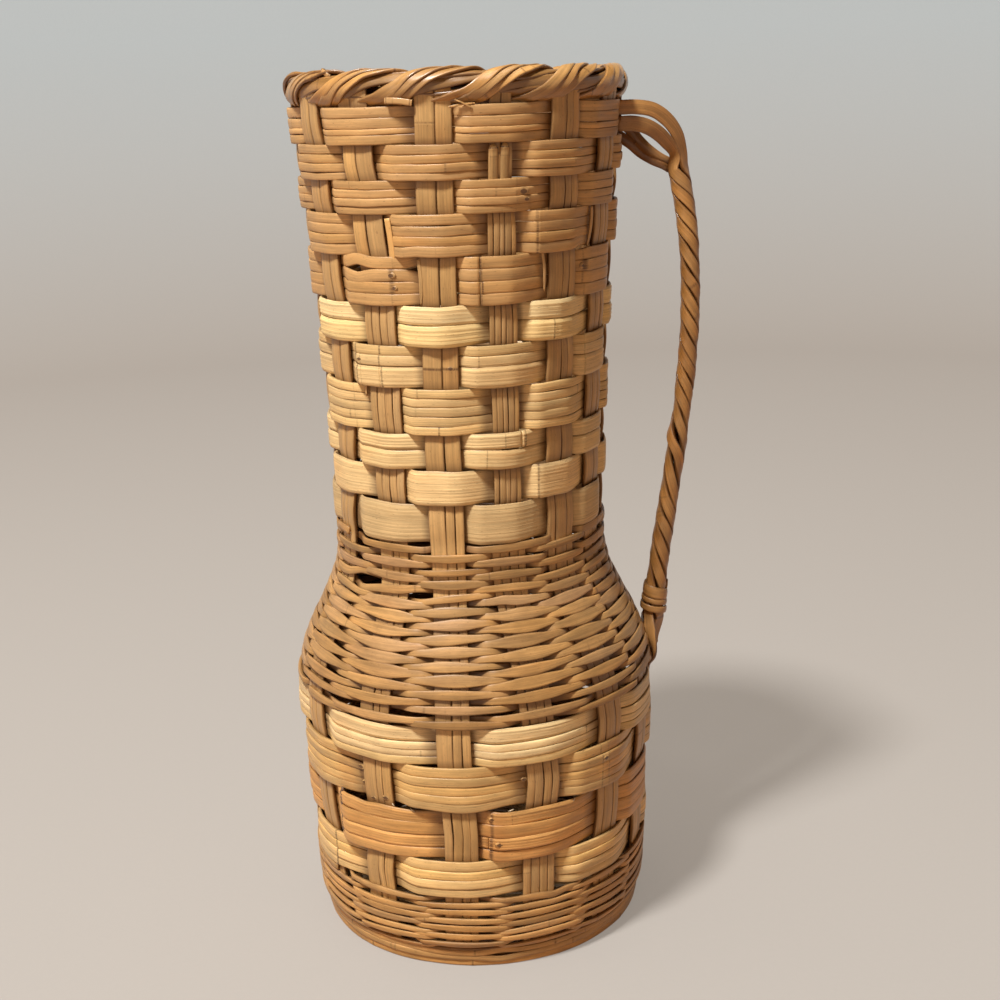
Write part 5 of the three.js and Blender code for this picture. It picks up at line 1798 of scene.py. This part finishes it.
def studio_finish():
    """Floor below, wall above, with a fine grain. What is seen is paler than what gives light."""
    material = bpy.data.materials.new("studio_finish")
    t = Tree(material)
    where = t.node("ShaderNodeNewGeometry").outputs["Position"]
    split = t.node("ShaderNodeSeparateXYZ")
    t.join(where, split.inputs[0])
    up = t.ranged(split.outputs["Z"], 0.0, COVE_RADIUS, 0.0, 1.0)
    grain = t.ranged(t.noise(where, 300, 3, 0.6), 0.3, 0.7, 0.0, 0.06)
    tone = t.blend(grain, t.blend(up, FLOOR_TONE, WALL_TONE), tuple(FLOOR_TONE * 0.6))
    ray = t.node("ShaderNodeLightPath").outputs
    mirrored = t.maths("MAXIMUM", ray["Is Glossy Ray"], ray["Is Transmission Ray"])
    seen = t.maths("MAXIMUM", ray["Is Camera Ray"], mirrored)
    from_axis = t.node("ShaderNodeVectorMath", operation="DISTANCE")
    t.join(where, from_axis.inputs[0])
    from_axis.inputs[1].default_value = tuple(AXIS)
    open_floor = t.ranged(from_axis.outputs["Value"], *DARK_UNDER_FOOT, 0.0, 1.0)
    shader = t.node("ShaderNodeBsdfPrincipled")
    t.join(t.blend(seen, ROOM_TONE, tone), shader.inputs["Base Color"])
    t.join(t.blend(up, FLOOR_GLOW, WALL_GLOW), shader.inputs["Emission Color"])
    t.join(t.maths("MULTIPLY", seen, open_floor), shader.inputs["Emission Strength"])
    shader.inputs["Roughness"].default_value = 0.95
    shader.inputs["Specular IOR Level"].default_value = 0.1
    result = t.node("ShaderNodeOutputMaterial")
    t.join(shader.outputs[0], result.inputs["Surface"])
    return material


def studio_sweep():
    """A round floor that curves up into the wall."""
    n = SWEEP_STEPS
    cove = [(FLOOR_REACH + COVE_RADIUS * math.sin(a), COVE_RADIUS * (1 - math.cos(a)))
            for a in np.linspace(0, math.pi / 2, 12)]
    profile = [(0.05, 0.0), (0.5, 0.0), (1.2, 0.0), *cove, (FLOOR_REACH + COVE_RADIUS, WALL_HEIGHT)]
    azimuth = np.linspace(0, 2 * math.pi, n, endpoint=False)
    rings = [np.stack([r * np.cos(azimuth), r * np.sin(azimuth), np.full(n, z)], axis=1)
             for r, z in profile]
    faces = [tuple(range(n))]
    for i in range(len(profile) - 1):
        for j in range(n):
            k = (j + 1) % n
            faces.append((i * n + j, (i + 1) * n + j, (i + 1) * n + k, i * n + k))
    mesh = bpy.data.meshes.new("studio_sweep")
    mesh.from_pydata(np.concatenate(rings).tolist(), [], faces)
    mesh.shade_smooth()
    mesh.materials.append(studio_finish())
    surface = bpy.data.objects.new("studio_sweep", mesh)
    bpy.context.scene.collection.objects.link(surface)
    return surface


studio_sweep()
print("the floor reaches", FLOOR_REACH, "m from the middle")


# %% Lamps, as (name, place, target, size, power, tone), and the world
LAMPS = (
    ("key_lamp", (-1.0, -1.25, 3.1), (0, 0, 0.25), 0.5, 160, (1.0, 0.98, 0.95)),
    ("top_lamp", (-0.2, 0.2, 3.2), (0, 0, 0), 1.6, 20, (1.0, 0.93, 0.84)),
    ("fill_lamp", (-1.5, -1.6, 0.9), (0, 0, 0.25), 1.4, 4, (1.0, 0.93, 0.86)),
)
WORLD_TONE = from_screen(240, 216, 186)
WORLD_STRENGTH = 0.09


def area_lamp(name, place, target, size, power, tone):
    data = bpy.data.lights.new(name, "AREA")
    data.shape = "DISK"
    data.size = size
    data.energy = power
    data.color = tone
    lamp = bpy.data.objects.new(name, data)
    lamp.location = place
    lamp.rotation_euler = (Vector(target) - Vector(place)).to_track_quat("-Z", "Y").to_euler()
    bpy.context.scene.collection.objects.link(lamp)


for lamp_facts in LAMPS:
    area_lamp(*lamp_facts)
world = bpy.data.worlds.new("room")
bpy.context.scene.world = world
world.use_nodes = True
background = world.node_tree.nodes["Background"]
background.inputs["Color"].default_value = with_alpha(WORLD_TONE)
background.inputs["Strength"].default_value = WORLD_STRENGTH
bpy.context.scene.view_settings.view_transform = "Standard"
print("lamps:", len(bpy.data.lights))

# %% The camera of the photograph: angles in degrees, distances in m
CAMERA_LENS = 55.08
CAMERA_SENSOR = 36
CAMERA_DISTANCE = 0.8771
CAMERA_HEIGHT = 0.490
CAMERA_PAN = -1.16
CAMERA_DOWN = 15.2
CAMERA_ROLL = -1.65

camera_data = bpy.data.cameras.new("camera")
camera_data.lens = CAMERA_LENS
camera_data.sensor_width = CAMERA_SENSOR
camera = bpy.data.objects.new("camera", camera_data)
turn = Matrix.Rotation(math.radians(CAMERA_PAN), 4, "Z")
turn = turn @ Matrix.Rotation(math.radians(90 - CAMERA_DOWN), 4, "X")
turn = turn @ Matrix.Rotation(math.radians(CAMERA_ROLL), 4, "Z")
stand = Matrix.Translation((AXIS[0], AXIS[1] - CAMERA_DISTANCE, CAMERA_HEIGHT))
camera.matrix_world = stand @ turn
bpy.context.scene.collection.objects.link(camera)
bpy.context.scene.camera = camera
print("camera at", np.round(stand.translation, 3))
